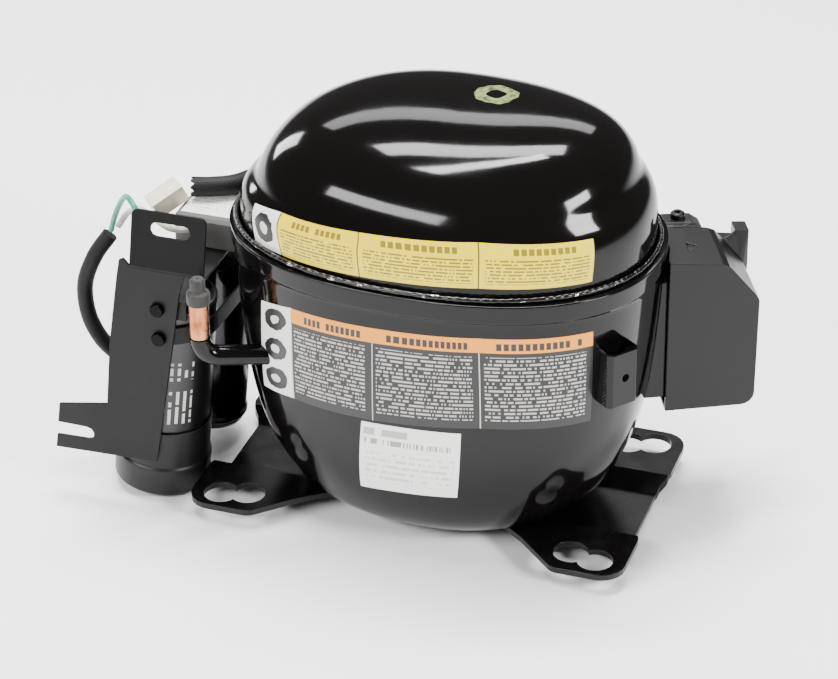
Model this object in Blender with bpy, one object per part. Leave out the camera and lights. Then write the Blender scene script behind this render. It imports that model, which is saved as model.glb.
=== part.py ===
"""Hermetic reciprocating compressor: sealed two-part steel shell on a stamped base plate, with the
spring-hung motor and piston pump inside it, a terminal box on one end and a capacitor pack on the other.

Run with: blender --background --python part.py
Frame: +Z up, +X towards the terminal cover, origin under the middle of the base plate, on the face it
rests on. Sizes below are millimetres; they become metres where a mesh or curve is made.
"""

import math

import bmesh
import bpy
import numpy as np
from mathutils import Vector

MM = 0.001
GAP = 0.35  # left between pieces that touch on the real machine

# Base plate: a dropped channel between four feet
PLATE = 3.0
CHANNEL_FLOOR = 0.0
FEET_TOP = 11.0
CHANNEL_HALF = 21.0
FOLD_HALF = 28.0
PLATE_HALF_LENGTH = 110.3
PLATE_HALF_WIDTH = 66.0
CHANNEL_END = 105.0
OUTER_HOLES = (95.25, 53.98)
INNER_HOLES = (82.55, 50.8)
HOLE_R = 8.8

# Shell: superellipse sections about one upright axis
SHELL_X, SHELL_Y = 4.2, 1.4
SHELL_WALL = 3.0
RIM_Z = 149.0
BOWL_HALF_LENGTH, BOWL_HALF_WIDTH = 104.6, 73.6
BOWL_DEPTH = 145.6
BOWL_TAPER = 0.083
BOWL_END_CURVE, BOWL_SIDE_CURVE = 4.07, 5.6
COLLAR_HEIGHT, COLLAR_STEP = 10.5, 0.9
SECTION_POWER = 2.28
DOME_HEIGHT = 63.8
DOME_HALF_WIDTH = 70.3
DOME_SHIFT = 5.5
CROWN_LEFT, CROWN_RIGHT = 95.3, 92.9
CROWN_POWER_LEFT, CROWN_POWER_RIGHT, CROWN_POWER_SIDE = 2.54, 4.2, 2.69
SHOULDER_LEFT, SHOULDER_RIGHT = 100.8, 100.0
SHOULDER_HEIGHT_LEFT, SHOULDER_HEIGHT_RIGHT = 27.0, 42.0
SHOULDER_POWER = 4.4
DOME_POWER = 2.18
SHELL_STEPS = 48
BOWL_LEVELS, DOME_LEVELS = 10, 12
DOME_TUCK, DOME_LAP = 1.3, 6.0
BEAD_R, BEAD_SIDES = 1.3, 6

# Pump and motor, hung on one upright axis
PUMP_X, PUMP_Y = 10.0, 1.4
STATOR_R, STATOR_BORE = 54.0, 28.6
STATOR_LOW, STATOR_HIGH = 50.0, 100.0
ROTOR_R = 28.0
SHAFT_R, BEARING_R = 9.0, 9.09
CRANK_PIN_R, BIG_END_R = 7.0, 7.09
CRANK_THROW = 6.5
CYLINDER_Z = 140.0
BORE_R, PISTON_R, PISTON_HOLLOW = 16.0, 15.9, 13.0
BARREL_R = 22.0
BARREL_NEAR, BARREL_FAR = -24.0, -66.2
ROD_LENGTH = 49.5
VALVE_PLATE = (-69.6, -66.55)
HEAD_FAR = -84.0
LEG = 35.0
SPRING_RADIUS = 50.5
SPRING_COIL_R = 4.0
SPRING_LOW, SPRING_HIGH = 15.9, 49.2
SPRING_TURNS, SPRING_STEPS = 4, 8
SPRING_WIRE_R = 0.9

# Terminal side: the cover's outward axis is turned from +X towards +Y
COVER_TURN = math.radians(26.0)
COVER_X, COVER_Y = 103.0, 31.6
COVER_HALF = 24.0
COVER_WALL = 2.0
TERMINAL_Z, TERMINAL_R = 97.0, 18.6

# Stubs: each leaves the shell, runs straight and turns up
SUCTION_EXIT = (-72.5, -50.5, 92.0)
SUCTION_CORNER = (-98.0, -64.1, 94.65)
SUCTION_RISE, SUCTION_BEND = 10.0, 8.5
TUBE_R = 5.0
COPPER_R, COPPER_LENGTH = 4.76, 22.0
PLUG_R, KNOB_R = 5.6, 3.7
PLUG_FOOT, PLUG_LENGTH, KNOB_LENGTH = 18.25, 6.4, 7.0
CAP_EASE = 0.08
STUB_R, STUB_WAY_R = 3.2, 3.7
STUB_CAP_LENGTH = 12.0
DISCHARGE_EXIT, DISCHARGE_TOWARDS = (-56.0, 58.0, 80.0), (-0.45, 0.893, 0.0)
PROCESS_EXIT, PROCESS_TOWARDS = (38.0, 71.0, 70.0), (0.3, 0.954, 0.0)

# Capacitor pack
START_CAP = (-136.0, -32.0)
START_LEAN = math.radians(6.5)
START_R, BOOT_R = 21.4, 23.8
RUN_CAP = (-127.0, 12.6)
RUN_LEAN = math.radians(4.0)
RUN_R = 18.0
START_FOOT, RUN_FOOT = 3.2, 10.0
BRACKET_Y = -58.0
SHEET = 1.4
FOLD_Z = 133.0
SHELF_Z = 117.0
SCREW_X, SHELF_SCREW_Z, STRAP_SCREW_Z = -122.0, 112.0, 96.0

# Wiring: points on the middle line of each lead
HARNESS_ROUTE = [
    (-133.7, 15.5, 139.3), (-124.0, 18.5, 139.3), (-114.0, 25.0, 139.0), (-106.0, 40.0, 137.5),
    (-92.0, 60.0, 135.0), (-66.0, 76.0, 132.0), (-30.0, 84.5, 129.0), (10.0, 86.5, 127.0),
    (48.0, 83.5, 124.0), (78.0, 74.5, 121.0), (94.0, 67.0, 119.0), (101.0, 59.0, 119.0),
    (106.0, 49.7, 119.0),
]
LOOP_ROUTE = [
    (-164.0, -16.0, 124.0), (-171.0, -20.0, 113.0), (-177.0, -20.5, 97.0), (-176.5, -20.5, 80.0),
    (-170.5, -20.0, 66.0), (-163.0, -16.0, 56.0), (-157.0, -6.0, 50.0), (-153.0, 6.0, 50.0),
]
GROUND_ROUTE = [
    (-162.2, -18.2, 127.8), (-158.0, -22.0, 138.0), (-152.0, -28.0, 149.0), (-145.0, -36.0, 158.0),
    (-138.0, -43.0, 158.0), (-133.0, -45.5, 151.0),
]
LINE_ROUTE = [
    (-160.4, -13.4, 128.0), (-155.0, -14.0, 136.0), (-146.0, -20.0, 143.0), (-136.0, -28.0, 145.0),
    (-126.0, -30.0, 141.0), (-119.0, -22.0, 137.5), (-118.0, -10.0, 135.2),
]


# ---- scene and materials ---------------------------------------------------------------------------

def clear_scene():
    for obj in list(bpy.data.objects):
        bpy.data.objects.remove(obj, do_unlink=True)


def material(name, colour, roughness, metallic=0.0):
    made = bpy.data.materials.new(name)
    made.use_nodes = True
    shader = made.node_tree.nodes["Principled BSDF"]
    shader.inputs["Base Color"].default_value = (*colour, 1.0)
    shader.inputs["Roughness"].default_value = roughness
    shader.inputs["Metallic"].default_value = metallic
    return made


FINISHES = {
    "black_enamel": ((0.012, 0.012, 0.012), 0.16, 0.0),
    "black_sheet": ((0.02, 0.02, 0.02), 0.45, 0.0),
    "black_plastic": ((0.025, 0.025, 0.025), 0.4, 0.0),
    "black_rubber": ((0.02, 0.02, 0.02), 0.7, 0.0),
    "black_sleeve": ((0.03, 0.03, 0.03), 0.6, 0.0),
    "cream_nylon": ((0.78, 0.74, 0.6), 0.45, 0.0),
    "grey_plastic": ((0.3, 0.3, 0.29), 0.5, 0.0),
    "green_wire": ((0.02, 0.3, 0.16), 0.4, 0.0),
    "white_wire": ((0.75, 0.75, 0.72), 0.4, 0.0),
    "copper": ((0.72, 0.3, 0.17), 0.3, 1.0),
    "winding": ((0.45, 0.16, 0.06), 0.35, 0.6),
    "steel": ((0.5, 0.5, 0.5), 0.3, 1.0),
    "cast_iron": ((0.16, 0.16, 0.16), 0.6, 0.9),
    "lamination": ((0.27, 0.27, 0.28), 0.45, 0.9),
    "aluminium": ((0.75, 0.75, 0.76), 0.35, 1.0),
}


def finish(obj, name):
    if name not in bpy.data.materials:
        material(name, *FINISHES[name])
    obj.data.materials.append(bpy.data.materials[name])


# ---- mesh helpers ----------------------------------------------------------------------------------

def new_object(name, points, faces, finish_name=None, origin=(0.0, 0.0, 0.0)):
    """A closed mesh from millimetre points. Its origin is placed at the given millimetre point."""
    start = Vector(origin)
    mesh = bpy.data.meshes.new(name)
    mesh.from_pydata([tuple((Vector(p) - start) * MM) for p in points], [], faces)
    work = bmesh.new()
    work.from_mesh(mesh)
    bmesh.ops.remove_doubles(work, verts=work.verts, dist=1e-7)
    bmesh.ops.recalc_face_normals(work, faces=work.faces)
    work.to_mesh(mesh)
    work.free()
    mesh.shade_smooth()
    mesh.set_sharp_from_angle(angle=math.radians(35))
    obj = bpy.data.objects.new(name, mesh)
    obj.location = start * MM
    bpy.context.scene.collection.objects.link(obj)
    if finish_name:
        finish(obj, finish_name)
    return obj


def loft(name, rings, finish_name=None, closed=False, origin=(0.0, 0.0, 0.0)):
    """Rings of points joined in order. Open lofts get flat caps; closed ones join the last to the first."""
    count = len(rings[0])
    points = [tuple(p) for ring in rings for p in ring]
    faces = []
    last = len(rings) if closed else len(rings) - 1
    for i in range(last):
        a = i * count
        b = (i + 1) % len(rings) * count
        for j in range(count):
            k = (j + 1) % count
            faces.append((a + j, a + k, b + k, b + j))
    if not closed:
        faces.append(tuple(range(count - 1, -1, -1)))
        faces.append(tuple(range((len(rings) - 1) * count, len(rings) * count)))
    return new_object(name, points, faces, finish_name, origin)


def basis(axis):
    """Two unit vectors square to the axis and to each other."""
    along = Vector(axis).normalized()
    side = Vector((0, 0, 1)) if abs(along.z) < 0.9 else Vector((1, 0, 0))
    first = along.cross(side).normalized()
    return first, along.cross(first).normalized()


def circle(centre, axis, radius, steps, turn=0.0):
    first, second = basis(axis)
    found = []
    for i in range(steps):
        angle = turn + 2 * math.pi * i / steps
        offset = first * math.cos(angle) + second * math.sin(angle)
        found.append(Vector(centre) + offset * radius)
    return found


def turned(name, profile, finish_name=None, centre=(0, 0, 0), axis=(0, 0, 1), steps=32, closed=False,
           origin=(0.0, 0.0, 0.0)):
    """A profile of (radius, height) pairs turned about an axis."""
    along = Vector(axis).normalized()
    rings = [circle(Vector(centre) + along * h, axis, r, steps) for r, h in profile]
    return loft(name, rings, finish_name, closed, origin)


def rod(name, start, end, radius, finish_name=None, steps=24, origin=(0.0, 0.0, 0.0)):
    axis = Vector(end) - Vector(start)
    profile = [(radius, 0.0), (radius, axis.length)]
    return turned(name, profile, finish_name, start, axis, steps, False, origin)


def ring_of(name, inner, outer, low, high, finish_name=None, centre=(0, 0, 0), axis=(0, 0, 1), steps=40,
            origin=(0.0, 0.0, 0.0)):
    profile = [(outer, low), (outer, high), (inner, high), (inner, low)]
    return turned(name, profile, finish_name, centre, axis, steps, True, origin)


def prism(name, outline, low, high, place, finish_name=None, origin=(0.0, 0.0, 0.0)):
    """A flat outline of (u, v) pairs carried from level low to high; place turns (u, v, w) into a point."""
    rings = [[place(u, v, w) for u, v in outline] for w in (low, high)]
    return loft(name, rings, finish_name, False, origin)


def flat(u, v, w):
    return (u, v, w)


def end_on(u, v, w):
    """Places an outline drawn across Y and up Z, carried along X."""
    return (w, u, v)


def box(name, low, high, finish_name=None, origin=(0.0, 0.0, 0.0)):
    outline = [(low[0], low[1]), (high[0], low[1]), (high[0], high[1]), (low[0], high[1])]
    return prism(name, outline, low[2], high[2], flat, finish_name, origin)


def arc(centre, radius, start, end, steps):
    """Points on a circle in degrees, ends included."""
    angles = np.radians(np.linspace(start, end, steps))
    return [(centre[0] + radius * math.cos(a), centre[1] + radius * math.sin(a)) for a in angles]


def boolean(obj, cutter, operation="DIFFERENCE"):
    modifier = obj.modifiers.new(operation.lower(), "BOOLEAN")
    modifier.operation = operation
    modifier.object = cutter
    modifier.solver = "EXACT"
    cutter.hide_render = True
    cutter.display_type = "WIRE"
    return obj


def smooth_route(points, spacing):
    """Points about one spacing apart on a smooth curve (Catmull-Rom) through the given ones."""
    p = np.array(points, dtype=float)
    p = np.vstack([2 * p[0] - p[1], p, 2 * p[-1] - p[-2]])
    t = np.linspace(0, 1, 24, endpoint=False)[:, None]
    dense = []
    for a, b, c, d in zip(p[:-3], p[1:-2], p[2:-1], p[3:]):
        bend = 2 * a - 5 * b + 4 * c - d
        twist = 3 * b - a - 3 * c + d
        dense.append(0.5 * (2 * b + (c - a) * t + bend * t**2 + twist * t**3))
    dense = np.vstack([*dense, p[-2:-1]])
    length = np.concatenate([[0], np.cumsum(np.linalg.norm(np.diff(dense, axis=0), axis=1))])
    count = max(3, round(length[-1] / spacing) + 1)
    at = np.linspace(0, length[-1], count)
    return np.column_stack([np.interp(at, length, dense[:, i]) for i in range(3)])


def tube(name, points, radius, finish_name, resolution=3):
    """A round bar along a row of millimetre points."""
    curve = bpy.data.curves.new(name, "CURVE")
    curve.dimensions = "3D"
    curve.bevel_depth = radius * MM
    curve.bevel_resolution = resolution
    curve.use_fill_caps = True
    spline = curve.splines.new("POLY")
    spline.points.add(len(points) - 1)
    for point, place in zip(spline.points, points):
        point.co = (*(Vector(place) * MM), 1.0)
    obj = bpy.data.objects.new(name, curve)
    bpy.context.scene.collection.objects.link(obj)
    finish(obj, finish_name)
    return obj


def bent_tube(corner_points, bend_radius, steps=7):
    """Straight runs between corners, each corner rounded with an arc."""
    corners = [Vector(p) for p in corner_points]
    route = [corners[0]]
    for before, corner, after in zip(corners, corners[1:], corners[2:]):
        back = (before - corner).normalized()
        ahead = (after - corner).normalized()
        half = back.angle(ahead) / 2
        reach = bend_radius / math.tan(half)
        centre = corner + (back + ahead).normalized() * (bend_radius / math.sin(half))
        first = corner + back * reach - centre
        last = corner + ahead * reach - centre
        for i in range(steps):
            share = i / (steps - 1)
            swing = first.slerp(last, share)
            route.append(centre + swing.normalized() * bend_radius)
    route.append(corners[-1])
    return route


# ---- shell -----------------------------------------------------------------------------------------

def section(half_left, half_right, half_width, power, z, shift=0.0, steps=SHELL_STEPS):
    """One level superellipse: x and y are the half sizes times signed powers of cosine and sine."""
    found = []
    for i in range(steps):
        angle = 2 * math.pi * i / steps
        c, s = math.cos(angle), math.sin(angle)
        half = half_right if c > 0 else half_left
        x = half * math.copysign(abs(c) ** (2 / power), c)
        y = half_width * math.copysign(abs(s) ** (2 / power), s)
        found.append((SHELL_X + x, SHELL_Y + shift + y, z))
    return found


def fall(share, power):
    """1 at the rim, 0 at the full depth, along a superellipse quarter."""
    return max(0.0, 1 - min(share, 1.0) ** power) ** (1 / power)


def bowl_section(z, inset=0.0):
    """The lower shell's level section, drawn in by inset on every side. The depth is drawn in as well."""
    depth = BOWL_DEPTH - max(inset, 0.0)
    share = min((RIM_Z - z) / depth, 1.0)
    narrow = 1 - BOWL_TAPER * share
    half_x = BOWL_HALF_LENGTH * narrow * fall(share, BOWL_END_CURVE) - inset
    half_y = BOWL_HALF_WIDTH * narrow * fall(share, BOWL_SIDE_CURVE) - inset
    return section(max(half_x, 2.0), max(half_x, 2.0), max(half_y, 2.0), SECTION_POWER, z)


def widened(ring, gap):
    """The same level ring, carried straight out from the shell's axis by about one gap."""
    moved = []
    for x, y, z in ring:
        across, along = x - SHELL_X, y - SHELL_Y
        reach = math.hypot(across, along)
        grow = (reach + gap) / reach
        moved.append((SHELL_X + across * grow, SHELL_Y + along * grow, z))
    return moved


def bowl_seat(name, gap):
    """A solid of the bowl's own shape, larger by one gap, that trims what is welded to the shell."""
    levels = bowl_levels(RIM_Z - BOWL_DEPTH, RIM_Z - COLLAR_HEIGHT, BOWL_LEVELS)
    rings = [widened(bowl_section(z), gap) for z in levels]
    return loft(name, [*rings, widened(bowl_section(RIM_Z), gap)])


def bowl_levels(low, high, count):
    """Levels that crowd towards the round bottom."""
    return [low + (high - low) * (1 - math.cos(0.5 * math.pi * i / count)) for i in range(count + 1)]


def dome_section(share):
    """The upper shell's section at a share of its height: a crown with a lower shoulder at each end."""
    z = share * DOME_HEIGHT
    halves = []
    for crown, power, shoulder, height in (
        (CROWN_LEFT, CROWN_POWER_LEFT, SHOULDER_LEFT, SHOULDER_HEIGHT_LEFT),
        (CROWN_RIGHT, CROWN_POWER_RIGHT, SHOULDER_RIGHT, SHOULDER_HEIGHT_RIGHT),
    ):
        upper = crown * fall(share, power)
        lower = shoulder * fall(z / height, SHOULDER_POWER)
        halves.append((upper**40 + lower**40) ** (1 / 40))
    half_y = DOME_HALF_WIDTH * fall(share, CROWN_POWER_SIDE)
    shift = DOME_SHIFT * share
    return halves[0], halves[1], half_y, shift


def dome_rings(top_z, inset, tuck, count):
    """Rings from the skirt that drops inside the lower shell up to the crown, whose top is top_z."""
    left, right, width, _ = dome_section(0.0)
    skirt = inset + tuck
    rings = [section(left - skirt, right - skirt, width - skirt, DOME_POWER, RIM_Z - DOME_LAP)]
    for i in range(count + 1):
        share = math.sin(0.5 * math.pi * (i / count) ** 0.85)
        left, right, width, shift = dome_section(share)
        thin = max(0.0, 1 - inset / max(width, inset + 1.5))
        z = max(RIM_Z + share * (top_z - RIM_Z), RIM_Z + GAP)
        left = max(left - inset, left * thin)
        right = max(right - inset, right * thin)
        width -= inset
        if i == count or min(left, right, width) < 2:
            left, right, width = 3.0, 3.0, 2.4
        rings.append(section(left, right, width, DOME_POWER, z, shift))
    return rings


def make_shell():
    outer = [bowl_section(z) for z in bowl_levels(RIM_Z - BOWL_DEPTH, RIM_Z - COLLAR_HEIGHT, BOWL_LEVELS)]
    proud = [widened(bowl_section(z), COLLAR_STEP) for z in (RIM_Z - COLLAR_HEIGHT + 1.6, RIM_Z)]
    inner_low = RIM_Z - BOWL_DEPTH + SHELL_WALL
    inner = [bowl_section(z, SHELL_WALL) for z in reversed(bowl_levels(inner_low, RIM_Z, BOWL_LEVELS - 2))]
    lower = loft("lower_shell", outer + proud + inner, "black_enamel")
    exits = [
        ("suction_way", Vector(SUCTION_EXIT), suction_out(), TUBE_R + 0.5),
        ("terminal_way", cover_place(0.0, 0.0, TERMINAL_Z), cover_axis(), TERMINAL_R + GAP),
        ("discharge_way", Vector(DISCHARGE_EXIT), Vector(DISCHARGE_TOWARDS), STUB_WAY_R),
        ("process_way", Vector(PROCESS_EXIT), Vector(PROCESS_TOWARDS), STUB_WAY_R),
    ]
    for name, place, axis, radius in exits:
        boolean(lower, rod(name, place - axis * 18, place + axis * 18, radius, steps=20))

    outer = dome_rings(RIM_Z + DOME_HEIGHT, 0.0, DOME_TUCK, DOME_LEVELS)
    inner = dome_rings(RIM_Z + DOME_HEIGHT - SHELL_WALL, SHELL_WALL, DOME_TUCK / 2, DOME_LEVELS - 3)
    loft("upper_shell", [*reversed(outer), *inner], "black_enamel")

    left, right, width, _ = dome_section(0.0)
    rings = []
    for i in range(BEAD_SIDES):
        angle = 2 * math.pi * i / BEAD_SIDES
        grow = BEAD_R * (1 + math.cos(angle)) + 0.5
        z = RIM_Z + GAP + BEAD_R * (1 + math.sin(angle))
        rings.append(section(left + grow, right + grow, width + grow, DOME_POWER, z))
    loft("weld_bead", rings, "black_enamel", closed=True)


# ---- base plate ------------------------------------------------------------------------------------

def make_base():
    under = 1.2
    top = [(-PLATE_HALF_WIDTH, FEET_TOP), (-FOLD_HALF, FEET_TOP), (-CHANNEL_HALF, CHANNEL_FLOOR + PLATE)]
    bottom = [(-CHANNEL_HALF - under, CHANNEL_FLOOR), (-FOLD_HALF - under, FEET_TOP - PLATE)]
    bottom.append((-PLATE_HALF_WIDTH, FEET_TOP - PLATE))
    profile = top + [(-y, z) for y, z in reversed(top)] + [(-y, z) for y, z in reversed(bottom)] + bottom
    plate = prism("base_plate", profile, -PLATE_HALF_LENGTH, PLATE_HALF_LENGTH, end_on, "black_enamel")

    corner = 12.0
    quarter = [(CHANNEL_END, 0.0), (CHANNEL_END, 20.0), (CHANNEL_END + 1.2, 24.0)]
    quarter += [(PLATE_HALF_LENGTH - 1.2, 27.0), (PLATE_HALF_LENGTH, 31.0)]
    quarter += arc((PLATE_HALF_LENGTH - corner, PLATE_HALF_WIDTH - corner), corner, 0, 90, 7)
    quarter += arc((80.0, PLATE_HALF_WIDTH - 8.0), 8.0, 90, 128, 4)
    quarter += [(56.0, 46.0), (45.0, 38.0), (20.0, 34.0)]
    outline = quarter + [(-x, y) for x, y in reversed(quarter)]
    outline += [(-x, -y) for x, y in quarter[1:]] + [(x, -y) for x, y in reversed(quarter[1:])]
    boolean(plate, prism("plate_outline", outline, -5.0, 20.0, flat), "INTERSECT")

    boolean(plate, bowl_seat("plate_seat", GAP))
    for index, (x, y) in enumerate((OUTER_HOLES, INNER_HOLES)):
        for side_x in (-1, 1):
            for side_y in (-1, 1):
                low, high = (side_x * x, side_y * y, 0.0), (side_x * x, side_y * y, 20.0)
                boolean(plate, rod(f"foot_hole_{index}{side_x}{side_y}", low, high, HOLE_R, steps=28))


# ---- terminal side ---------------------------------------------------------------------------------

def cover_axis():
    return Vector((math.cos(COVER_TURN), math.sin(COVER_TURN), 0.0))


def cover_place(out, across, z):
    """A point from its distance out from the shell, its offset across the cover and its height."""
    axis = cover_axis()
    side = Vector((-axis.y, axis.x, 0.0))
    return Vector((COVER_X, COVER_Y, 0.0)) + axis * out + side * across + Vector((0, 0, z))


def make_service_bracket():
    turn = math.radians(-38.0)
    axis = Vector((math.cos(turn), math.sin(turn), 0.0))
    side = Vector((-axis.y, axis.x, 0.0))
    root = Vector((97.0, -36.0, 0.0))
    half, wall, reach = 8.6, 1.6, 9.0
    outline = [(-half, -6.0), (-half, reach - 2), (-half + 2, reach)]
    outline += [(half - 2, reach), (half, reach - 2), (half, -6.0)]
    inner = [(u * (half - wall) / half, v - (wall if v > 0 else 0)) for u, v in outline]
    web = outline + list(reversed(inner))

    def place(u, v, w):
        return root + side * u + axis * v + Vector((0, 0, w))

    bracket = prism("service_bracket", web, 92.0, 120.0, place, "black_enamel")
    boolean(bracket, bowl_seat("bracket_seat", GAP))
    hole = place(0.5, reach, 106.5)
    boolean(bracket, rod("bracket_hole", hole - axis * 5, hole + axis * 5, 2.1, steps=14))


def make_terminal():
    def facing(across, z, out):
        return cover_place(out, across, z)

    axis = cover_axis()
    centre = cover_place(0.0, 0.0, TERMINAL_Z)
    plug = [(16.4, -6.0), (TERMINAL_R, -6.0), (TERMINAL_R, 1.2), (16.4, 1.2), (15.5, -2.2), (0.5, -2.2)]
    plug += [(0.5, -4.6), (15.5, -4.6)]
    terminal = turned("hermetic_terminal", plug, "steel", centre, axis, 28, True)
    first, second = basis(axis)
    for index in range(3):
        angle = math.radians(90 + 120 * index)
        spot = centre + (first * math.cos(angle) + second * math.sin(angle)) * 8.5
        boolean(terminal, rod(f"pin_way_{index + 1}", spot - axis * 12, spot + axis * 12, 1.9, steps=12))
        rod(f"terminal_pin_{index + 1}", spot - axis * 12, spot + axis * 10, 1.55, "steel", 12)

    fence = 1.6
    half, low, high = 20.6, 66.0, 129.0
    ring = [(-half, low), (half, low), (half, high), (-half, high)]
    inner = half - fence
    floor, roof = low + fence, high - fence
    hollow = [(-inner, floor), (inner, floor), (inner, roof), (-inner, roof)]
    collar = prism("terminal_fence", ring, -22.0, 5.0, facing, "black_enamel")
    boolean(collar, prism("fence_hollow", hollow, -30.0, 12.0, facing))
    boolean(collar, bowl_seat("fence_seat", GAP))

    block = [(-14.0, 84.0), (14.0, 84.0), (14.0, 104.0), (8.0, 112.0), (-8.0, 112.0), (-14.0, 104.0)]
    prism("terminal_block", block, 10.6, 22.0, facing, "black_plastic")
    cup = [(12.5, 0.0), (13.5, 1.0), (13.5, 9.0), (11.0, 11.0), (4.0, 11.0), (4.0, 12.5)]
    turned("overload_protector", cup, "black_plastic", cover_place(23.0, 2.0, 94.0), axis, 28)


def make_cover():
    """A moulded box, open towards the shell. Its near side is cut off at the top outer corner; the far
    side stands up past it as a wall with a tab."""
    def place(u, v, w):
        return cover_place(u, w, v)

    def walled(name, sections):
        rings = [[place(u, v, w) for u, v in outline] for w, outline in sections]
        return loft(name, rings)

    foot = [(-2.5, 60.0), *arc((34.5, 67.0), 6.5, -90, 0, 5)]
    near = [*foot, (41.4, 118.0), (39.6, 121.0), (35.2, 126.3), (30.9, 131.7), (26.5, 137.0), (23.5, 138.4)]
    near += [(10.0, 140.0), (-2.5, 141.0)]
    far = [*foot, (44.0, 116.0), (44.0, 134.5), (37.2, 135.0), (37.2, 128.6), (24.5, 130.0), (20.5, 138.0)]
    far += [(16.0, 141.2), (-2.5, 141.8)]
    cover = walled("terminal_cover", [(-COVER_HALF, near), (13.0, near), (15.0, far), (COVER_HALF, far)])
    finish(cover, "black_plastic")
    inner_foot = [(-12.0, 62.0), *arc((33.0, 68.0), 6.0, -90, 0, 4)]
    inner_near = [*inner_foot, (39.0, 114.0), (31.5, 124.2), (24.0, 134.4), (10.0, 137.4), (-12.0, 138.2)]
    inner_far = [*inner_foot, (39.0, 114.0), (34.0, 126.4), (22.6, 127.4), (17.0, 137.4), (-12.0, 138.2)]
    reach = COVER_HALF - COVER_WALL
    sections = [(-reach, inner_near), (12.0, inner_near), (14.5, inner_far), (reach, inner_far)]
    boolean(cover, walled("cover_hollow", sections))
    slit = [(-12.0, 112.0), (10.0, 112.0), *arc((10.0, 119.0), 7.0, -60, 60, 5)]
    slit += [(10.0, 126.0), (-12.0, 126.0)]
    boolean(cover, prism("cover_cable_way", slit, 14.0, COVER_HALF + 8, place))
    open_side = [(-40.0, 50.0), (-2.4, 50.0), (-2.4, 150.0), (-40.0, 150.0)]
    boolean(cover, prism("cover_open_side", open_side, -40.0, 40.0, place))
    axis = cover_axis()
    boss = cover_place(9.7, 19.4, 139.8)
    peg = [(3.6, 0.0), (3.6, 4.2), (2.6, 5.0)]
    boolean(cover, turned("cover_boss", peg, None, boss, (0, 0, 1), 16), "UNION")
    dimple = boss + Vector((0, 0, 3.0))
    boolean(cover, rod("boss_dimple", dimple, dimple + Vector((0, 0, 6)), 1.4, steps=12))
    recess = [(9.0, -12.0), (15.0, -6.0), (9.5, -3.0)]
    boolean(cover, prism("hood_recess", recess, 138.9, 150.0, cover_place))
    boolean(cover, bowl_seat("cover_seat", 1.8))


# ---- stubs -----------------------------------------------------------------------------------------

def suction_out():
    """The way the suction tube leaves the shell."""
    return (Vector(SUCTION_CORNER) - Vector(SUCTION_EXIT)).normalized()


def make_stub(name, exit_place, towards, run, rise):
    """A tube out of the shell that turns up, with a push-on rubber cap."""
    out = Vector(towards).normalized()
    start = Vector(exit_place)
    corner = start + out * run
    top = corner + Vector((0, 0, rise))
    route = bent_tube([start - out * 8, corner, top], 2.2 * STUB_R)
    tube(f"{name}_tube", route, STUB_R, "copper")
    bore = STUB_R + CAP_EASE
    outer = bore + 0.9
    foot = 2.0 - STUB_CAP_LENGTH
    cup = [(outer, foot), (outer, 1.6), (STUB_R * 0.8, 2.6), (0.4, 2.6)]
    cup += [(0.4, 0.5), (bore, 0.5), (bore, foot)]
    turned(f"{name}_cap", cup, "black_rubber", top, (0, 0, 1), 20, True, tuple(top))


def make_stubs():
    corner = Vector(SUCTION_CORNER)
    elbow_top = corner + Vector((0, 0, SUCTION_RISE))
    route = bent_tube([Vector(SUCTION_EXIT) - suction_out() * 12, corner, elbow_top], SUCTION_BEND)
    tube("suction_tube", route, TUBE_R, "black_enamel")
    low = elbow_top + Vector((0, 0, GAP))
    rod("suction_stub", low, low + Vector((0, 0, COPPER_LENGTH)), COPPER_R, "copper", 24)
    bore = COPPER_R + CAP_EASE
    deep = COPPER_LENGTH - PLUG_FOOT + GAP
    knob = PLUG_LENGTH + KNOB_LENGTH
    cup = [(PLUG_R, 0.0), (PLUG_R, PLUG_LENGTH - 0.6), (KNOB_R, PLUG_LENGTH), (KNOB_R, knob - 0.8)]
    cup += [(KNOB_R - 0.9, knob), (0.4, knob), (0.4, deep), (bore, deep), (bore, 0.0)]
    base = low + Vector((0, 0, PLUG_FOOT))
    turned("suction_cap", cup, "black_rubber", base, (0, 0, 1), 24, True, tuple(base))
    make_stub("discharge", DISCHARGE_EXIT, DISCHARGE_TOWARDS, 16.0, 26.0)
    make_stub("process", PROCESS_EXIT, PROCESS_TOWARDS, 14.0, 30.0)


# ---- capacitor pack --------------------------------------------------------------------------------

def leaning(place, lean, low):
    """The foot point and the axis of a can that leans towards the shell."""
    axis = Vector((math.sin(lean), 0.0, math.cos(lean)))
    return Vector((place[0], place[1], low)), axis


def make_capacitors():
    foot, axis = leaning(START_CAP, START_LEAN, START_FOOT)
    boot = [(BOOT_R - 1.2, 0.0), (BOOT_R, 1.4), (BOOT_R, 14.0), (BOOT_R - 0.8, 15.0), (START_R + 1.2, 36.0)]
    boot += [(START_R + 0.4, 36.0), (START_R + 0.4, 3.0), (4.0, 3.0), (4.0, 0.0)]
    turned("start_capacitor_boot", boot, "black_plastic", foot, axis, 36, True)
    can = [(START_R - 1.5, 3.4), (START_R, 5.0), (START_R, 104.0), (START_R - 1.6, 105.6)]
    can += [(5.0, 105.6), (5.0, 108.6)]
    turned("start_capacitor", can, "black_plastic", foot, axis, 40)
    foot, axis = leaning(RUN_CAP, RUN_LEAN, RUN_FOOT)
    can = [(RUN_R - 6.0, 0.0), (RUN_R - 2.0, 1.6), (RUN_R - 0.4, 5.0), (RUN_R, 6.0), (RUN_R, 96.0)]
    can += [(RUN_R - 1.5, 98.0), (5.0, 98.0), (5.0, 102.0)]
    turned("run_capacitor", can, "black_plastic", foot, axis, 36)


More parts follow.
